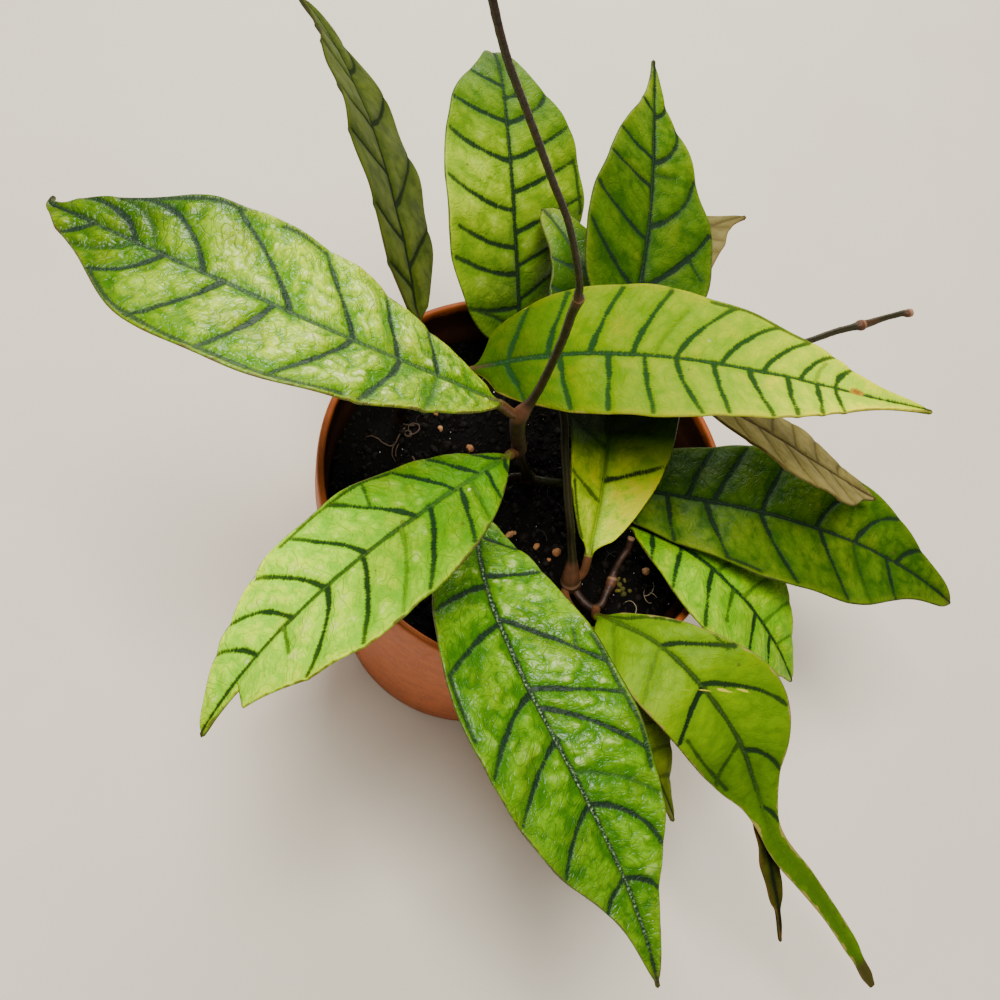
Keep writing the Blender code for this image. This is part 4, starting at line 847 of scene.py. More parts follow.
def blade_rings(blade, across, halves, gap, middle, relief, slip):
    """The blade's sections from its base to its tip, each over the top and back underneath."""
    t = blade["t"][:, None]
    y = across * halves
    left_half, right_half = (half[:, None] for half in blade["halves"])

    def placed(sideways, lift, slid):
        fold = blade["fold"][:, None]
        out = blade["left"][:, None, :] * (sideways * np.cos(fold))[..., None]
        up = blade["above"][:, None, :] * (np.abs(sideways) * np.sin(fold) + lift)[..., None]
        return blade["point"][:, None, :] - out + up + blade["forward"][:, None, :] * slid[..., None]

    body = (EDGE_THICKNESS + (MIDDLE_THICKNESS - EDGE_THICKNESS) * (1 - across ** 2)) / 2
    body = body * np.sqrt(np.clip((1 - np.abs(across)) * halves / ROUNDED_EDGE, 0.3, 1))
    keel = RIB_DEPTH * np.clip(1 - t, 0, 1) ** 0.7 * np.exp(-y ** 2)
    top = placed(y, middle + body + relief, slip)
    bottom = placed(y, middle - body - keel - UNDER_DEPTH * dip(gap, UNDER_HALF), slip)
    left_rim = placed(-left_half, middle[:, [0]], slip[:, [0]])
    right_rim = placed(right_half, middle[:, [-1]], slip[:, [-1]])
    return np.concatenate([top, right_rim, bottom[:, ::-1], left_rim], axis=1)


def with_stalk(rings, blade, stalk, fade):
    """The blade's sections, turning round towards its base, behind those of its stalk."""
    point, side, above, radius = stalk
    half_count = rings.shape[1] // 2
    low = round_rings(blade["point"], blade["left"], blade["above"], radius, half_count)
    mix = np.clip(blade["t"] / fade, 0, 1)[:, None, None]
    foot = round_rings(point, side, above, radius, half_count)
    return np.concatenate([foot, low * (1 - mix) + rings * mix])


def leaf_mesh(name, blade, design, look, veins, seed, stalk, fade):
    """A closed leaf with its stalk, and its vein, margin, side and place attributes."""
    t = blade["t"][:, None]
    half_count = max(6, round(max(half.max() for half in blade["halves"]) / blade["grid"]))
    across = np.linspace(-1, 1, 2 * half_count + 3)[1:-1]
    halves = np.where(across < 0, *(half[:, None] for half in blade["halves"]))
    x = np.broadcast_to(t * blade["length"], halves.shape)
    y = across * halves
    gap, strength, run = line_distance(x, y, vein_lines(blade, veins, seed))
    middle, relief, lift = blade_relief(blade, x, y, gap, across, look, design, seed + 10)
    rings = blade_rings(blade, across, halves, gap, middle, relief, torn_slip(t, across, design))
    rings = with_stalk(rings, blade, stalk, fade)
    rows, count = rings.shape[:2]
    stalk_rows = rows - len(t)
    tip = rings[-1].mean(axis=0) + blade["forward"][-1] * TIP_REACH
    verts = np.concatenate([rings.reshape(-1, 3), rings[0].mean(axis=0)[None], tip[None]])

    def spread(values, on_stalk, on_rims=None):
        left, right = (values[:, [k]] if on_rims is None else np.full(t.shape, on_rims) for k in (0, -1))
        on_blade = np.concatenate([values, right, values[:, ::-1], left], axis=1)
        stalk_values = np.full(stalk_rows * count, on_stalk)
        return np.concatenate([stalk_values, on_blade.ravel(), [on_stalk, on_blade[-1].mean()]])

    t_rows = np.broadcast_to(t, halves.shape)
    attributes = dict(
        vein=spread(gap, FAR_FROM_VEIN),
        strength=spread(strength, 0.0),
        run=spread(run, 0.0),
        lift=spread(lift, 0.0, 0.0),
        margin=spread(halves * (1 - np.abs(across)), FAR_FROM_VEIN, 0.0),
        scar=spread(marked(t_rows, across, design.get("scars", [])), 0.0),
        pale=spread(marked(t_rows, across, design.get("pale", [])), 0.0),
        tone=spread(blade_painted_light(blade, across, look), 1.0),
        along=spread(t_rows, -1.0))
    steps = np.linspace(-0.2, 0, stalk_rows, endpoint=False)
    attributes["along"][:stalk_rows * count] = np.repeat(steps, count)
    face = np.concatenate([np.ones(len(across)), [0.5], np.zeros(len(across)), [0.5]])
    attributes["face"] = np.concatenate([np.tile(face, rows), [0.5, 0.5]])
    uv = np.stack([spread(x, 0.0), spread(y, 0.0)], axis=1) / UV_SPAN
    return closed_rings(name, verts * MM, rows, count, attributes, uv)


def closed_rings(name, verts, rows, count, attributes, uv=None):
    """A mesh through rings of points, closed with fans to the last two points."""
    index = np.arange(rows * count).reshape(rows, count)
    a, b = index[:-1], index[1:]
    quads = np.stack([a, b, np.roll(b, -1, axis=1), np.roll(a, -1, axis=1)], axis=2).reshape(-1, 4)
    first, last = np.full(count, rows * count), np.full(count, rows * count + 1)
    ring, end = index[0], index[-1]
    fans = np.concatenate([np.stack([first, ring, np.roll(ring, -1)], axis=1),
                           np.stack([last, np.roll(end, -1), end], axis=1)])
    corner = verts[quads]
    volume = sum(np.sum(corner[:, 0] * np.cross(corner[:, k], corner[:, k + 1])) for k in (1, 2))
    if volume < 0:
        quads = quads[:, ::-1]
        fans = fans[:, ::-1]
    mesh = bpy.data.meshes.new(name)
    mesh.from_pydata(verts.tolist(), [], quads.tolist() + fans.tolist())
    for key, values in attributes.items():
        store(mesh, key, values)
    if uv is not None:
        corners = np.empty(len(mesh.loops), np.int32)
        mesh.loops.foreach_get("vertex_index", corners)
        layer = mesh.uv_layers.new(name="blade")
        layer.data.foreach_set("uv", uv[corners].astype(np.float32).ravel())
    mesh.shade_smooth()
    mesh.update()
    return mesh


def store(mesh, name, values):
    """Keeps a value for each point of a mesh."""
    layer = mesh.attributes.new(name, "FLOAT", "POINT")
    layer.data.foreach_set("value", np.asarray(values, np.float32))


def add_piece(name, mesh, slot, material, *replaced):
    """A finished piece: it rides on the plant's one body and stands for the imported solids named."""
    mesh.materials.clear()
    mesh.materials.append(material)
    piece = bpy.data.objects.new(name, mesh)
    bpy.context.scene.collection.objects.link(piece)
    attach(piece, "root")
    if replaced:
        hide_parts(*replaced)


class Wire:
    """What a node gives, ready for the next node: it takes sums and products as a number does."""

    def __init__(self, socket):
        self.socket = socket

    def __add__(self, other):
        return maths("ADD", self, other)

    def __sub__(self, other):
        return maths("SUBTRACT", self, other)

    def __rsub__(self, other):
        return maths("SUBTRACT", other, self)

    def __mul__(self, other):
        return maths("MULTIPLY", self, other)

    def __abs__(self):
        return maths("ABSOLUTE", self)

    __radd__ = __add__
    __rmul__ = __mul__

    def capped(self):
        """The same value kept from 0 to 1 by the sum or product that gives it."""
        self.socket.node.use_clamp = True
        return self

    def ramp(self, low, high, to_low=0.0, to_high=1.0):
        """The value carried smoothly from one range to another."""
        return wire(tree_of(self), "ShaderNodeMapRange", {
            "Value": self, "From Min": low, "From Max": high, "To Min": to_low, "To Max": to_high},
            interpolation_type="SMOOTHSTEP")


def tree_of(*parts):
    """The node tree that the wires among these parts belong to."""
    return next(part.socket.id_data for part in parts if isinstance(part, Wire))


def connect(node, inputs):
    """Fills a node's inputs by name or number: a wire is joined, a value set."""
    for key, value in inputs.items():
        if isinstance(value, Wire):
            node.id_data.links.new(value.socket, node.inputs[key])
        else:
            node.inputs[key].default_value = value


def put(tree, kind, inputs=None, **settings):
    """What a new node with these inputs and settings gives, by name or number."""
    node = tree.nodes.new(kind)
    for key, value in settings.items():
        setattr(node, key, value)
    connect(node, inputs or {})
    return node.outputs


def wire(tree, kind, inputs=None, **settings):
    """The first thing that a new node gives."""
    return Wire(put(tree, kind, inputs, **settings)[0])


def maths(operation, a, b=0.0):
    return wire(tree_of(a, b), "ShaderNodeMath", {0: a, 1: b}, operation=operation)


def combine(x, y, z):
    return wire(tree_of(x, y, z), "ShaderNodeCombineXYZ", {0: x, 1: y, 2: z})


def split(place):
    return [Wire(part) for part in put(tree_of(place), "ShaderNodeSeparateXYZ", {0: place})]


def rgba(colour):
    return tuple(colour) + (1.0,)


def blend(factor, a, b, kind="MIX", capped=False):
    """Two colours mixed, each a wire or three numbers."""
    a, b = (part if isinstance(part, Wire) else rgba(part) for part in (a, b))
    return Wire(put(tree_of(factor, a, b), "ShaderNodeMix", {0: factor, 6: a, 7: b}, data_type="RGBA",
                    blend_type=kind, clamp_result=capped)[2])


def scatter(place, scale, detail, **more):
    """Noise from 0 to 1 over a place, with scale lumps to its unit."""
    inputs = {"Vector": place, "Scale": scale, "Detail": detail, **more}
    return wire(tree_of(place), "ShaderNodeTexNoise", inputs)


def speckle(place, size, detail, rough=0.6):
    """Noise from 0 to 1 with lumps about size mm across, over places in metres."""
    return scatter(place, 1 / (size * MM), detail, Roughness=rough)


def attribute(tree, name):
    return Wire(put(tree, "ShaderNodeAttribute", attribute_name=name)["Fac"])


def new_group(name, kind, inputs, outputs):
    """A node group with its named sockets, the wires that come in, and the node they leave by."""
    group = bpy.data.node_groups.new(name, kind)
    for label, socket_kind, value in inputs:
        socket = group.interface.new_socket(label, in_out="INPUT", socket_type=socket_kind)
        if value is not None:
            socket.default_value = value
    for label, socket_kind in outputs:
        group.interface.new_socket(label, in_out="OUTPUT", socket_type=socket_kind)
    given = {socket.name: Wire(socket) for socket in group.nodes.new("NodeGroupInput").outputs if socket.name}
    return group, given, group.nodes.new("NodeGroupOutput")


def blade_creases(given):
    """Where a blade's fine folds run, aslant from its midrib on both sides."""
    along, sideways = split(given["Blade"])[:2]
    across = abs(sideways)
    place = combine(1.3 * along - 0.65 * across, 0.8 * across + 0.4 * along, maths("SIGN", sideways))
    creases = []
    for size, half in CREASES:
        waves = scatter(place, UV_SPAN / size, 1.5, Roughness=0.5, Distortion=0.5)
        creases.append(abs(waves - 0.5).ramp(half, 0.0))
    wide, narrow = creases
    return maths("MAXIMUM", wide, 0.6 * narrow) * (2.4 * given["Wrinkle"])


def pane_colour(given, mid, fine, net, crease):
    """A blade's panes between the veins: mottled, with painted light on their swellings and painted shade in
    their hollows and creases, yellowing in patches and at the margin.
    """
    place, lift, deep, aged = (given[key] for key in ("Place", "Lift", "Deep", "Aged"))
    # Painted light on the panes' swollen middles and ripple tops, mixed with random mottling.
    mottle_and_painted_light = 0.5 * given["Vein"].ramp(0.1, 4.5) - 0.12 + 0.6 * speckle(place, 16, 1, 0.5) + 0.55 * lift
    mottle_and_painted_light = (mottle_and_painted_light + 0.5 * (fine - 0.5) + 0.8 * (mid - 0.5)).capped()
    colour = blend(mottle_and_painted_light, deep, given["Bright"])
    colour = blend(speckle(place, 11, 2).ramp(0.5, 0.72) * given["Yellowing"], colour, aged)
    near_margin = given["Margin"].ramp(3.2, 0.0) * given["Yellowing"]
    colour = blend(maths("MAXIMUM", near_margin, 0.7 * given["Along"].ramp(0.90, 1.0)), colour, aged)
    colour = blend(0.15 * net, colour, deep)
    # Painted shade in the ripples' hollows and along the fine creases.
    colour = blend(0.55 * lift.ramp(-0.15, -0.65), colour, deep)
    colour = blend((0.55 * crease).capped(), colour, deep)
    return colour


def lit_colour(given, colour, fine, crease):
    """The colour under the lightness painted on the blade, mostly its painted light and shade, yellower where
    lighter, with painted glints.
    """
    lift, tone = given["Lift"], given["Tone"]
    shade = wire(tree_of(tone), "ShaderNodeCombineColor", {0: maths("POWER", tone, 1.3), 1: tone, 2: tone})
    colour = blend(1.0, colour, shade, "MULTIPLY", capped=True)
    # Painted highlight: pale glints on the highest ripples, where the painted light is strong.
    glint = (lift + fine).ramp(0.95, 1.75) * given["Glint"] * tone.ramp(1.0, 1.6) * (1.0 - crease).capped()
    return blend(glint, colour, GLINT)


def rib_painted_sheen(given, feather, from_rib):
    """Where a painted sheen lies along the midrib, as pale flecks."""
    place = wire(tree_of(from_rib), "ShaderNodeMapping", {"Vector": given["Blade"], "Scale": (1.0, 0.6, 1.0)})
    on_rib = (from_rib + 0.5 * feather).ramp(0.5, 0.15) * given["Along"].ramp(0.97, 0.85)
    flecks = scatter(place, 150.0, 3.0).ramp(0.44, 0.68) * on_rib * given["Flecks"]
    return flecks * given["Along"].ramp(0.0, 0.04)


def blemishes(given, colour, fine):
    """Dark specks, brown scars and pale marks over a blade's colour."""
    spots = put(tree_of(fine), "ShaderNodeTexVoronoi", {
        "Vector": given["Place"], "Scale": 1 / (SPECK_SPACE * MM), "Randomness": 1.0})
    pick = put(tree_of(fine), "ShaderNodeSeparateColor", {0: Wire(spots["Color"])})
    chosen = maths("LESS_THAN", Wire(pick[0]), given["Specks"])
    speck = maths("LESS_THAN", Wire(spots["Distance"]), 0.07 * Wire(pick[1]) + 0.03) * chosen
    colour = blend(0.6 * speck, colour, SPECK)
    colour = blend((given["Scar"] + 0.4 * fine).ramp(0.35, 0.75), colour, SCAR_RING)
    colour = blend(0.6 * given["Scar"].ramp(0.75, 1.0), colour, SCAR_HEART)
    return blend(given["Pale"].ramp(0.4, 0.8), colour, given["Pale Colour"])


def worn_rim(given, colour, mid):
    """A blade's colour with its worn rim and its brown tip."""
    worn = (3.0 * (mid - 0.42)).capped()
    edge = (given["Margin"] - (worn * given["Browning"] + 0.12)).ramp(0.25, 0.0)
    colour = blend(edge * mid.ramp(0.35, 0.6, 0.35, 0.9), colour, given["Rim"])
    tip_place = given["Along"] + 0.06 * (mid - 0.5)
    tip = tip_place.ramp(given["Tip From"], given["Tip From"] + 0.03) * given["Browning"]
    return blend(tip, colour, DRY_TIP)


def under_colour(given, vein, net, mid):
    """The paler underside, with veins that show through."""
    pale_vein = blend(0.5, given["Under"], given["Vein Colour"])
    colour = blend(0.6 * vein, given["Under"], pale_vein)
    colour = blend(0.3 * net, colour, pale_vein)
    return blend(0.3 * mid, colour, given["Deep"])


def stalk_share(given, mid, from_rib):
    """Where a leaf's bark shows: all over its stalk, and less on the foot of its midrib."""
    stalk = (given["Along"] + 0.02 * mid).ramp(0.022, 0.0)
    foot = given["Along"].ramp(0.06, 0.0) * from_rib.ramp(1.2, 0.3)
    return maths("MAXIMUM", stalk, 0.6 * foot)


def leaf_group():
    """A blade's colour, roughness and fine height, from where each point lies on the blade."""
    inputs = [(name, VECTOR, None) for name in ("Place", "Blade")]
    inputs += [(name.capitalize(), NUMBER, 0.0) for name in BLADE_ATTRIBUTES + FINISH_NUMBERS]
    inputs += [(name.capitalize(), COLOUR, None) for name in FINISH_COLOURS]
    inputs += [(name, COLOUR, None) for name in ("Vein Colour", "Bark", "Pale Colour")]
    inputs += [(name, NUMBER, 0.0) for name in ("Glint", "Tip From")]
    outputs = [("Color", COLOUR), ("Roughness", NUMBER), ("Height", NUMBER)]
    group, given, out = new_group("hoya_blade", "ShaderNodeTree", inputs, outputs)
    place = given["Place"]
    mid = speckle(place, 4.5, 2)
    fine = speckle(place, 1.1, 1)
    cells = {"Vector": place, "Scale": 1 / (NET_SIZE * MM), "Randomness": 0.9}
    borders = put(group, "ShaderNodeTexVoronoi", cells, feature="DISTANCE_TO_EDGE")
    net = Wire(borders["Distance"]).ramp(0.10, 0.0)
    from_rib = UV_SPAN * abs(split(given["Blade"])[1])
    crease = blade_creases(given)

    hairs = scatter(combine(given["Run"], 0.22 * given["Vein"], given["Strength"]), 2.3, 1.0)
    feather = 0.8 * (hairs - 0.5) + 0.8 * (mid - 0.5)
    gap = given["Vein"] + feather
    vein = gap.ramp(0.44, -0.16) * given["Strength"]

    colour = pane_colour(given, mid, fine, net, crease)
    colour = blend(0.45 * gap.ramp(1.7, 0.1), colour, given["Deep"])
    colour = lit_colour(given, colour, fine, crease)
    colour = blend(0.96 * vein, colour, given["Vein Colour"])
    colour = blend(rib_painted_sheen(given, feather, from_rib), colour, RIB_PAINTED_SHEEN)
    colour = blemishes(given, colour, fine)
    colour = worn_rim(given, colour, mid)
    colour = blend(given["Face"].ramp(0.4, 0.6), under_colour(given, vein, net, mid), colour)
    bark = blend(mid, blend(1.0, given["Bark"], (0.55, 0.55, 0.55), "MULTIPLY"), given["Bark"])
    colour = blend(stalk_share(given, mid, from_rib), colour, bark)

    rough = given["Rough"] + mid.ramp(0.3, 0.7, 0.0, 0.12) + 0.25 * vein + 0.12 * (1.0 - given["Face"])
    height = speckle(place, 1.7, 1, 0.5) * given["Wrinkle"] + fine * (0.14 * given["Wrinkle"])
    height = height - 0.02 * net - 0.18 * crease - 0.12 * vein + 0.22 * from_rib.ramp(0.42, 0.08)
    connect(out, {"Color": colour, "Roughness": rough, "Height": height})
    return group


def new_material(name):
    """A new material, its node tree and the places on the piece in metres."""
    material = bpy.data.materials.new(name)
    material.use_nodes = True
    tree = material.node_tree
    return material, tree, Wire(put(tree, "ShaderNodeTexCoord")["Object"])


def finish_material(material, colour, rough, gloss, relief=None):
    """Joins colour, roughness, gloss and any relief, as height, strength and depth in mm, to the shader."""
    tree = material.node_tree
    inputs = {"Base Color": colour, "Roughness": rough, "Specular IOR Level": gloss}
    if relief:
        height, strength, depth = relief
        inputs["Normal"] = wire(tree, "ShaderNodeBump", {
            "Height": height, "Strength": strength, "Distance": depth * MM})
    connect(tree.nodes["Principled BSDF"], inputs)
    return material


def leaf_material(name, look, group, seed):
    """One blade's material, from its look and its finish."""
    finish = FINISHES[look["finish"]]
    material, tree, place = new_material(name)
    moved = wire(tree, "ShaderNodeMapping", {"Vector": place, "Location": (0.31 * seed, 0.17 * seed, 0.0)})
    values = {"Place": moved, "Blade": wire(tree, "ShaderNodeUVMap", uv_map="blade"),
              "Vein Colour": rgba(finish["vein"]), "Bark": rgba(look.get("bark", BARK)),
              "Pale Colour": rgba(look.get("pale", FLECK)), "Glint": look.get("glint", 0.0),
              "Tip From": look.get("tip_from", BROWN_FROM)}
    values.update((key.capitalize(), attribute(tree, key)) for key in BLADE_ATTRIBUTES)
    values.update((key.capitalize(), rgba(finish[key])) for key in FINISH_COLOURS)
    values.update((key.capitalize(), finish[key]) for key in FINISH_NUMBERS)
    given = put(tree, "ShaderNodeGroup", values, node_tree=group)
    colour, rough, height = (Wire(part) for part in given)
    return finish_material(material, colour, rough, finish["gloss"], (height, 0.8, 1.0))


def stem_path(route, greens):
    """A stem's line, point by point: places, thickness, and how much of joint, scar and green is there."""
    places = np.array([place for place, radius in route], float)
    radii = np.array([radius for place, radius in route])
    steps = np.linalg.norm(np.diff(places, axis=0), axis=1)
    share, line = route_points(places, round(steps.sum() / STEM_STEP) + 1)
    thick = np.interp(share, np.concatenate([[0], np.cumsum(steps)]) / steps.sum(), radii)
    slimmer = SLIM_SHARE * np.clip((SLIM_UNDER - thick) / SLIM_OVER, 0, 1)
    thick = averaged((thick * (1 - slimmer))[:, None], 5)[:, 0]
    reach = round(JOINT_REACH / STEM_STEP)
    around = [thick[max(0, i - reach):i + reach + 1] for i in range(len(thick))]
    thinnest = np.array([part.min() for part in around])
    joint = np.clip((thick / thinnest - JOINT_SWELL) / 0.35, 0, 1)
    peaks = [i for i, part in enumerate(around) if thick[i] == part.max() and joint[i] > 0.4]
    way = share * steps.sum()
    scar = np.zeros(len(thick))
    for i in peaks:
        scar = np.maximum(scar, np.exp(-((way - way[i] - 0.7 * thick[i]) / SCAR_HALF) ** 2))
    stretches = [np.clip(20 * np.minimum(share - low, high - share) + 0.5, 0, 1) for low, high in greens]
    green = np.max(stretches + [0 * share], axis=0)
    scar[-2:] = 1.0
    thick = (thick + SCAR_RAISE * scar * (joint > 0)) * MM
    return line, dict(thick=thick, joint=joint, scar=scar, green=green)


def stem_mesh(name, routes, greens, material):
    """Round stems swept along their routes, as one mesh, by the stem tree."""
    paths = [stem_path(route, green) for route, green in zip(routes, greens)]
    edges = []
    start = 0
    for line, values in paths:
        edges += [(start + i, start + i + 1) for i in range(len(line) - 1)]
        start += len(line)
    mesh = bpy.data.meshes.new(name)
    mesh.from_pydata((np.concatenate([line for line, values in paths]) * MM).tolist(), edges, [])
    for key in ("thick", "joint", "scar", "green"):
        store(mesh, key, np.concatenate([values[key] for line, values in paths]))
    return grown(name, mesh, stem_tree(), {
        "Sides": STEM_SIDES, "Ridge Depth": STEM_RIDGE * MM, "Grain Depth": STEM_GRAIN * MM,
        "Material": material})


def grown(name, mesh, tree, values):
    """The plain mesh that a geometry tree makes of a mesh, with the tree's inputs set by name."""
    holder = bpy.data.objects.new(name + "_holder", mesh)
    bpy.context.scene.collection.objects.link(holder)
    modifier = holder.modifiers.new("tree", "NODES")
    modifier.node_group = tree
    for item in tree.interface.items_tree:
        if item.item_type == "SOCKET" and item.in_out == "INPUT" and item.name in values:
            modifier[item.identifier] = values[item.name]
    ready = holder.evaluated_get(bpy.context.evaluated_depsgraph_get())
    result = bpy.data.meshes.new_from_object(ready)
    holder.modifiers.clear()
    bpy.data.objects.remove(holder, do_unlink=True)
    result.name = name
    return result


def new_tree(name, inputs):
    """A geometry tree with its named inputs, and a material as the last of them, ready to be filled."""
    inputs = [("Geometry", GEOMETRY, None)] + inputs + [("Material", "NodeSocketMaterial", None)]
    return new_group(name, "GeometryNodeTree", inputs, [("Geometry", GEOMETRY)])


def finish_tree(tree, given, out, geometry):
    """The end of every tree: copies made real, then smooth faces and the material."""
    real = wire(tree, "GeometryNodeRealizeInstances", {"Geometry": geometry})
    smooth = wire(tree, "GeometryNodeSetShadeSmooth", {"Geometry": real})
    done = wire(tree, "GeometryNodeSetMaterial", {"Geometry": smooth, "Material": given["Material"]})
    connect(out, {"Geometry": done})
    return tree


def kept(tree, geometry, name, value, **settings):
    """Geometry with a value kept on it under a name."""
    return wire(tree, "GeometryNodeStoreNamedAttribute", {"Geometry": geometry, "Name": name, "Value": value},
                **settings)


def read(tree, name):
    return wire(tree, "GeometryNodeInputNamedAttribute", {"Name": name})


def scaled(tree, vector, factor):
    return wire(tree, "ShaderNodeVectorMath", {0: vector, "Scale": factor}, operation="SCALE")


def pushed_out(tree, geometry, distance):
    """Geometry with its points moved along their normals."""
    offset = scaled(tree, wire(tree, "GeometryNodeInputNormal"), distance)
    return wire(tree, "GeometryNodeSetPosition", {"Geometry": geometry, "Offset": offset})


@cache
def stem_tree():
    """Sweeps a round, faintly ridged and grainy stem along lines, as thick as their points say."""
    tree, given, out = new_tree("ringed_stem", [
        ("Sides", WHOLE, 18), ("Ridge Depth", NUMBER, 0.00005), ("Grain Depth", NUMBER, 0.0002)])
    line = wire(tree, "GeometryNodeMeshToCurve", {"Mesh": given["Geometry"]})
    ring = wire(tree, "GeometryNodeCurvePrimitiveCircle", {"Resolution": given["Sides"], "Radius": 1.0})
    ring = kept(tree, ring, "around", Wire(put(tree, "GeometryNodeSplineParameter")["Factor"]))
    tube = wire(tree, "GeometryNodeCurveToMesh", {
        "Curve": line, "Profile Curve": ring, "Scale": read(tree, "thick"), "Fill Caps": True})
    ridge = maths("SINE", RIDGE_ANGLE * read(tree, "around")) * given["Ridge Depth"]
    grain = scatter(wire(tree, "GeometryNodeInputPosition"), 650.0, 2.0)
    tube = pushed_out(tree, tube, ridge + (grain - 0.5) * given["Grain Depth"])
    return finish_tree(tree, given, out, tube)


def random_vector(tree, low, high, seed):
    return wire(tree, "FunctionNodeRandomValue", {0: low, 1: high, 8: seed}, data_type="FLOAT_VECTOR")


def random_number(tree, low, high, seed):
    return Wire(put(tree, "FunctionNodeRandomValue", {2: low, 3: high, 8: seed})[1])


def set_lumps(tree, given, points, size, shape, grain, wobble):
    """Rough lumps on points, each turned, stretched and toned by chance.

    shape is their least and greatest stretch, grain the scale and detail of their roughness.
    """
    lump = wire(tree, "GeometryNodeMeshIcoSphere", {"Radius": 1.0, "Subdivisions": given["Facets"]})
    turn = random_vector(tree, (0, 0, 0), (6.28, 6.28, 6.28), given["Seed"])
    stretch = random_vector(tree, *shape, given["Seed"])
    lumps = wire(tree, "GeometryNodeInstanceOnPoints", {
        "Points": points, "Instance": lump, "Rotation": turn, "Scale": scaled(tree, stretch, size)})
    lumps = kept(tree, lumps, "tone", random_number(tree, 0.0, 1.0, 7), domain="INSTANCE")
    lumps = wire(tree, "GeometryNodeRealizeInstances", {"Geometry": lumps})
    rough = scatter(wire(tree, "GeometryNodeInputPosition"), *grain) - 0.5
    return pushed_out(tree, lumps, rough * (given["Roughness"] * wobble))


@cache
def crumb_tree():
    """Strews rough little lumps over the faces that lie above a height."""
    tree, given, out = new_tree("soil_crumbs", [
        ("Above", NUMBER, 0.09), ("Density", NUMBER, 100000.0), ("Smallest", NUMBER, 0.0003),
        ("Largest", NUMBER, 0.001), ("Roughness", NUMBER, 0.3), ("Facets", WHOLE, 1), ("Seed", WHOLE, 0)])
    height = split(wire(tree, "GeometryNodeInputPosition"))[2]
    high = wire(tree, "FunctionNodeCompare", {0: height, 1: given["Above"]}, data_type="FLOAT",
                operation="GREATER_THAN")
    points = wire(tree, "GeometryNodeDistributePointsOnFaces", {
        "Mesh": given["Geometry"], "Selection": high, "Density": given["Density"], "Seed": given["Seed"]})
    size = random_number(tree, given["Smallest"], given["Largest"], given["Seed"])
    lumps = set_lumps(tree, given, points, size, ((0.7, 0.6, 0.4), (1.3, 1.1, 0.9)), (1400.0, 1.0),
                      given["Largest"])
    return finish_tree(tree, given, out, lumps)


@cache
def bit_tree():
    """Sets one rough lump on each point, as large as the point says."""
    tree, given, out = new_tree("placed_bits", [
        ("Roughness", NUMBER, 0.5), ("Facets", WHOLE, 3), ("Seed", WHOLE, 0)])
    lumps = set_lumps(tree, given, given["Geometry"], read(tree, "thick"), ((0.8, 0.7, 0.6), (1.3, 1.1, 0.9)),
                      (700.0, 2.0), 0.002)
    return finish_tree(tree, given, out, lumps)


def drain_tree():
    """Cuts a ring of round holes through the bottom of a pot."""
    tree, given, out = new_tree("drain_holes", [
        ("Holes", WHOLE, 6), ("Hole Radius", NUMBER, 0.004), ("Ring Radius", NUMBER, 0.027),
        ("Depth", NUMBER, 0.008)])
    ring = wire(tree, "GeometryNodeMeshCircle", {"Vertices": given["Holes"], "Radius": given["Ring Radius"]})
    cutter = wire(tree, "GeometryNodeMeshCylinder", {
        "Vertices": 24, "Radius": given["Hole Radius"], "Depth": given["Depth"]})
    cutters = wire(tree, "GeometryNodeInstanceOnPoints", {"Points": ring, "Instance": cutter})
    cutters = wire(tree, "GeometryNodeRealizeInstances", {"Geometry": cutters})
    holed = wire(tree, "GeometryNodeMeshBoolean", {"Mesh 1": given["Geometry"], "Mesh 2": cutters},
                 operation="DIFFERENCE", solver="EXACT")
    return finish_tree(tree, given, out, holed)


def turned_mesh(name, profile, steps, inside=None):
    """A closed profile of radius and height turned about Z, with its ends on the axis.

    inside, where given, marks each of the profile's rings and its last end as inside or outside.
    """
    rings = [(radius, height) for radius, height in profile if radius > 0]
    angle = np.linspace(0, 2 * np.pi, steps, endpoint=False)
    verts = [(r * math.cos(a), r * math.sin(a), z) for r, z in rings for a in angle]
    verts += [(0, 0, profile[0][1]), (0, 0, profile[-1][1])]
    attributes = {}
    if inside is not None:
        attributes["inside"] = np.concatenate([np.repeat(inside, steps), [0, 1]])
    return closed_rings(name, np.array(verts, float) * MM, len(rings), steps, attributes)


def eased(profile):
    """A profile with its corners rounded by cutting them."""
    points = np.array(profile, float)
    for _ in range(2):
        cut = [points[0]]
        for a, b in zip(points, points[1:]):
            cut += [a * 0.85 + b * 0.15, a * 0.15 + b * 0.85]
        cut.append(points[-1])
        points = np.array(cut)
    return [tuple(point) for point in points]


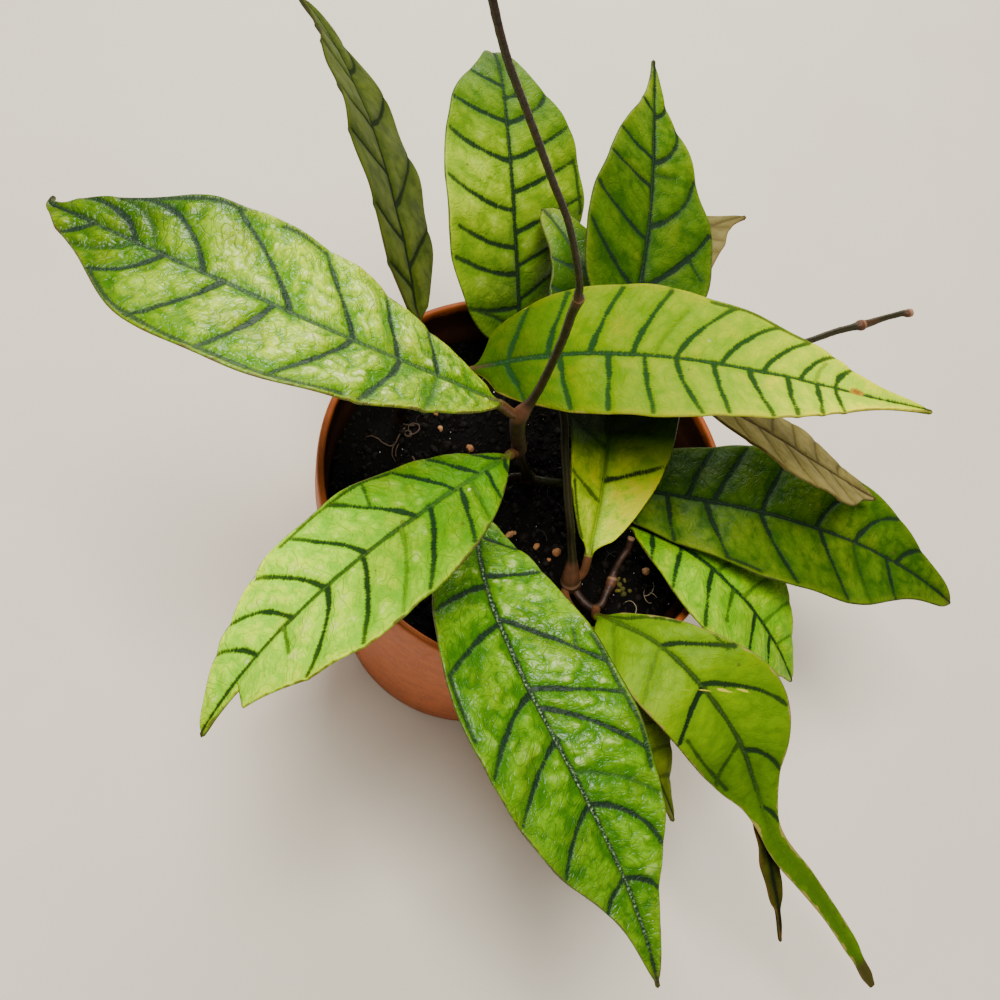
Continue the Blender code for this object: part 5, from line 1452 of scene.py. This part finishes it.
def pot_mesh():
    """The pot's shell, from the middle of its underside up over the rim and down to its floor."""
    inner = RIM_RADIUS - RIM_WALL
    outside = [(BASE_RADIUS - 6, 0.0), (BASE_RADIUS, 0.0), (BASE_RADIUS + 0.8, 1.0),
               (BODY_TOP_RADIUS, COLLAR - 0.6), (RIM_RADIUS - 1.0, COLLAR), (RIM_RADIUS - 0.5, COLLAR + 0.4),
               (RIM_RADIUS, POT_HEIGHT - 0.9), (RIM_RADIUS - 0.5, POT_HEIGHT)]
    inside = [(inner + 0.5, POT_HEIGHT), (inner, POT_HEIGHT - 0.6), (inner - 0.6, COLLAR + 1.5),
              (BODY_TOP_RADIUS - POT_WALL, COLLAR - 2.0), (BASE_RADIUS - POT_WALL, FLOOR),
              (BASE_RADIUS - 8, FLOOR)]
    profile = [(0.0, 0.0), (6.0, 0.0)] + eased(outside + inside) + [(6.0, FLOOR), (0.0, FLOOR)]
    last_outside = max(i for i, point in enumerate(profile) if point[1] > POT_HEIGHT - 0.05)
    marks = [float(i >= last_outside) for i in range(1, len(profile) - 1)]
    return turned_mesh("pot", profile, POT_STEPS, marks)


def inner_radius(z):
    """The pot's inner radius at a height below the collar."""
    low = BASE_RADIUS - POT_WALL
    high = BODY_TOP_RADIUS - POT_WALL
    return low + (high - low) * (z - FLOOR) / (COLLAR - 2.0 - FLOOR)


def soil_level(radius):
    """How high the soil stands there without its crumbs, mm."""
    fall = min(1.0, max(0.0, (radius - SOIL_FALL_FROM) / SOIL_FALL_OVER))
    return SOIL_TOP - (SOIL_TOP - SOIL_EDGE) * fall


def soil_height(x, y):
    """How high the crumbly soil stands at a place, mm."""
    here = Vector((x, y, 3.0))
    crumb, grit = (noise.voronoi(here / size)[0][0] for size in (3.2, 1.5))
    level = soil_level(math.hypot(x, y))
    return level + 1.6 * noise.noise(here / 11) + 1.3 * (0.45 - crumb) + 0.6 * (0.45 - grit)


def soil_mesh():
    """The soil as one turned body that fills the pot, with a crumbly top."""
    floor = FLOOR + SOIL_LIFT
    edge = inner_radius(SOIL_SIDE) - SOIL_GAP
    top = [(radius, soil_level(radius)) for radius in np.arange(1.0, edge, SOIL_RING)]
    profile = [(0.0, SOIL_TOP)] + top + [(edge, SOIL_EDGE - 1.5), (edge, SOIL_SIDE),
                                         (inner_radius(floor) - SOIL_GAP, floor), (0.0, floor)]
    mesh = turned_mesh("soil", profile, SOIL_STEPS)
    for vertex in mesh.vertices:
        x, y, z = vertex.co / MM
        if z < SOIL_EDGE - 2:
            continue
        vertex.co.z = soil_height(x, y) * MM - (SOIL_EDGE - 1.5 - z) * MM * (z < SOIL_EDGE - 1)
    mesh.update()
    return mesh


def dots_mesh(name, dots, tree, values):
    """Lumps set on the soil at places given as x, y and size in mm."""
    mesh = bpy.data.meshes.new(name)
    mesh.from_pydata([(x * MM, y * MM, (soil_height(x, y) + 0.4 * size) * MM) for x, y, size in dots], [], [])
    store(mesh, "thick", [size * MM for x, y, size in dots])
    return grown(name, mesh, tree, values)


def root_mesh(name, count, length, thick, middle, spread, seed, material):
    """Curly threads that lie on the soil round a place, each a wandering line swept round."""
    draws = np.random.default_rng(seed)
    places, edges, thicks = [], [], []
    for _ in range(count):
        x, y = np.array(middle) + draws.normal(0, spread, 2)
        heading = draws.uniform(0, 2 * np.pi)
        curl = draws.normal(0, 0.14)
        steps = int(length * draws.uniform(0.5, 1.2) / ROOT_STEP)
        for step in range(steps):
            if math.hypot(x, y) > ROOT_LIMIT:
                break
            lift = 0.35 + 0.5 * math.sin(math.pi * step / steps)
            if step:
                edges.append((len(places) - 1, len(places)))
            places.append((x * MM, y * MM, (soil_height(x, y) + lift) * MM))
            thicks.append(thick * (1 - 0.6 * step / steps) * MM)
            curl += draws.normal(0, 0.05)
            heading += curl
            x += ROOT_STEP * math.cos(heading)
            y += ROOT_STEP * math.sin(heading)
    mesh = bpy.data.meshes.new(name)
    mesh.from_pydata(places, edges, [])
    store(mesh, "thick", thicks)
    return grown(name, mesh, stem_tree(), {
        "Sides": ROOT_SIDES, "Ridge Depth": 0.0, "Grain Depth": ROOT_GRAIN * MM, "Material": material})


def stem_material():
    """Brown bark, ridged lengthwise, greener along young stretches, with orange joints and pale scars."""
    material, tree, place = new_material("vine_bark")
    mottle = speckle(place, 2.4, 3)
    grain = speckle(place, 0.5, 2)
    streak = maths("SINE", RIDGE_ANGLE * attribute(tree, "around"))
    colour = blend(mottle.ramp(0.35, 0.65), *STEM_BARK)
    green = blend(streak.ramp(-0.6, 0.8), *STEM_GREEN)
    colour = blend(0.85 * attribute(tree, "green"), colour, green)
    knot = attribute(tree, "joint") * mottle.ramp(0.25, 0.6, 0.55, 1.0)
    colour = blend(knot, colour, STEM_JOINT)
    colour = blend(0.8 * attribute(tree, "scar"), colour, STEM_SCAR)
    rough = grain.ramp(0.3, 0.7, 0.40, 0.58)
    return finish_material(material, colour, rough, 0.22, (grain + mottle, 0.35, 0.2))


def pot_material():
    """Moulded plastic, orange outside and on the rim, with painted shade darkening its inside below the rim.
    """
    material, tree, place = new_material("terracotta_plastic")
    mottle = speckle(place, 6.0, 4)
    grain = speckle(place, 1.2, 3)
    height = split(place)[2]
    # Painted shade: the inside wall is darkened from just below the rim down to the soil.
    low = (height + 4 * MM * (mottle - 0.5)).ramp((POT_HEIGHT - 1.0) * MM, (POT_HEIGHT - 3.5) * MM)
    painted_inner_shade = attribute(tree, "inside") * low * height.ramp((SOIL_EDGE - 8) * MM, (SOIL_EDGE - 6) * MM)
    colour = blend(mottle.ramp(0.35, 0.65), *PLASTIC)
    colour = blend(0.93 * painted_inner_shade, colour, PAINTED_INNER_SHADE)
    return finish_material(material, colour, grain.ramp(0.3, 0.7, 0.46, 0.6), 0.3, (grain, 0.08, 0.4))


def crumb_material(name, dark, light, gloss, size=0.8):
    """Loose bits between two colours, each bit lighter or darker at random."""
    material, tree, place = new_material(name)
    grain = speckle(place, size, 3)
    tone = (0.7 * attribute(tree, "tone") + 1.2 * (grain - 0.35)).capped()
    return finish_material(material, blend(tone, dark, light), grain.ramp(0.3, 0.7, 0.6, 0.9), gloss,
                           (grain, 0.6, 0.3))


def floor_material():
    """A pale, even floor with the faintest mottling."""
    material, _, place = new_material("pale_floor")
    mottle = speckle(place, 80, 4)
    colour = blend(mottle.ramp(0.35, 0.65), *FLOOR_COLOURS)
    return finish_material(material, colour, 0.7, 0.5)


def build_leaves():
    group = leaf_group()
    for number, (name, design) in enumerate(LEAVES.items()):
        look = LOOKS[name]
        blade = leaf_blade(design, look.get("grid", GRID))
        stalk = stalk_curve(design["node"], design.get("side"), blade)
        mesh = leaf_mesh(name + "_blade", blade, design, look, VEINS.get(name, PLAIN_VEINS),
                         LEAF_SEED + number, stalk, design.get("fade", STALK_FADE))
        material = leaf_material(name, look, group, number)
        add_piece(name + "_blade", mesh, SLOTS.get(name, "green_leaf"), material, name)
    build_torn_leaf(group)


def build_torn_leaf(group):
    """The torn blade and the flap that hangs from it."""
    look = LOOKS["leaf_torn"]
    blade = route_blade(TORN_ROUTE, TORN_ROLL, TORN_FAR, TORN_NEAR, TORN_FOLD)
    design = dict(TORN_WAVE, pale=TORN_PALE)
    mesh = leaf_mesh("leaf_torn_blade", blade, design, look, TORN_VEINS, TORN_SEED,
                     stalk_curve(TORN_NODE, None, blade), TORN_FADE)
    material = leaf_material("leaf_torn", look, group, 20)
    add_piece("leaf_torn_blade", mesh, "green_leaf", material, "leaf_torn")
    flap = route_blade(FLAP_ROUTE, FLAP_ROLL, FLAP_HALF, FLAP_HALF, FLAP_FOLD)
    start = (flap["point"][:1] - flap["forward"][:1] * 0.5, flap["left"][:1], flap["above"][:1], FLAP_START)
    mesh = leaf_mesh("leaf_torn_flap", flap, TORN_WAVE, FLAP_LOOK, FLAP_VEINS, TORN_SEED + 1, start,
                     FLAP_FADE)
    for item in mesh.attributes["along"].data:
        item.value = max(item.value, FLAP_ALONG)
    add_piece("leaf_torn_flap", mesh, "green_leaf", leaf_material("leaf_torn_flap", FLAP_LOOK, group, 21))


def build_stems():
    bark = stem_material()
    for name, routes in STEMS.items():
        mesh = stem_mesh(name + "_stem", routes, GREEN_STRETCHES.get(name, [[]]), bark)
        add_piece(name + "_stem", mesh, "brown_stem", bark, name)


def build_pot():
    plastic = pot_material()
    holed = grown("turned_pot", pot_mesh(), drain_tree(), {
        "Holes": DRAIN_HOLES, "Hole Radius": DRAIN_RADIUS * MM, "Ring Radius": DRAIN_RING * MM,
        "Depth": 4 * FLOOR * MM, "Material": plastic})
    add_piece("turned_pot", holed, "terracotta_plastic", plastic, "pot")


def build_soil():
    """The soil, the crumbs and grit strewn on it, and the lumps, tufts and threads set on it."""
    ground = soil_mesh()
    add_piece("crumbly_soil", ground, "dark_soil", crumb_material("potting_soil", *EARTH, 0.06), "soil")
    for name, density, low, high, facets, seed, rough, colours, gloss in CRUMBS:
        material = crumb_material(name, *colours, gloss)
        mesh = grown(name, ground.copy(), crumb_tree(), {
            "Above": SOIL_SIDE * MM, "Density": density / MM ** 2, "Smallest": low * MM, "Largest": high * MM,
            "Roughness": rough, "Facets": facets, "Seed": seed, "Material": material})
        add_piece(name, mesh, "dark_soil", material)
    for name, dots, colours in (("clay_lumps", CLAY_LUMPS, CLAY), ("moss_tufts", MOSS_TUFTS, MOSS)):
        material = crumb_material(name, *colours, 0.2, 1.2)
        mesh = dots_mesh(name, dots, bit_tree(), {
            "Roughness": 0.6, "Facets": 3, "Seed": 4, "Material": material})
        add_piece(name, mesh, "dark_soil", material)
    for name, *design, colours in ROOTS:
        material = crumb_material(name, *colours, 0.3)
        add_piece(name, root_mesh(name, *design, material), "dark_soil", material)


def build_studio():
    """A pale floor, a dim even sky and two soft lights."""
    mesh = bpy.data.meshes.new("floor")
    corners = [(x * FLOOR_HALF, y * FLOOR_HALF, 0) for x, y in ((-1, -1), (1, -1), (1, 1), (-1, 1))]
    mesh.from_pydata(corners, [], [(0, 1, 2, 3)])
    floor = bpy.data.objects.new("floor", mesh)
    bpy.context.scene.collection.objects.link(floor)
    floor.data.materials.append(floor_material())
    world = bpy.data.worlds.new("studio")
    bpy.context.scene.world = world
    world.use_nodes = True
    connect(world.node_tree.nodes["Background"], {"Color": rgba(SKY), "Strength": SKY_STRENGTH})
    for name, place, size, power, colour in LIGHTS:
        add_light(name, place, size, power, colour)


def add_light(name, place, size, power, colour):
    """A square soft light in mm, aimed at the middle of the plant."""
    light = bpy.data.lights.new(name, "AREA")
    light.shape = "SQUARE"
    light.size = size * MM
    light.energy = power
    light.color = colour
    lamp = bpy.data.objects.new(name, light)
    lamp.location = Vector(place) * MM
    lamp.rotation_euler = (Vector(PLANT_MIDDLE) - Vector(place)).to_track_quat("-Z", "Y").to_euler()
    bpy.context.scene.collection.objects.link(lamp)


def build_camera():
    """The camera looks down on the plant from in front, turned about its view."""
    data = bpy.data.cameras.new("camera")
    data.lens = CAMERA_LENS
    data.sensor_width = 36
    data.clip_start = 0.01
    right, up = Vector(CAMERA_RIGHT), Vector(CAMERA_UP)
    turn = Matrix((right, up, right.cross(up))).transposed()
    camera = bpy.data.objects.new("camera", data)
    camera.matrix_world = Matrix.Translation(Vector(CAMERA_PLACE) * MM) @ turn.to_4x4()
    bpy.context.scene.collection.objects.link(camera)
    bpy.context.scene.camera = camera


build_camera()
build_leaves()
build_stems()
build_pot()
build_soil()
build_studio()
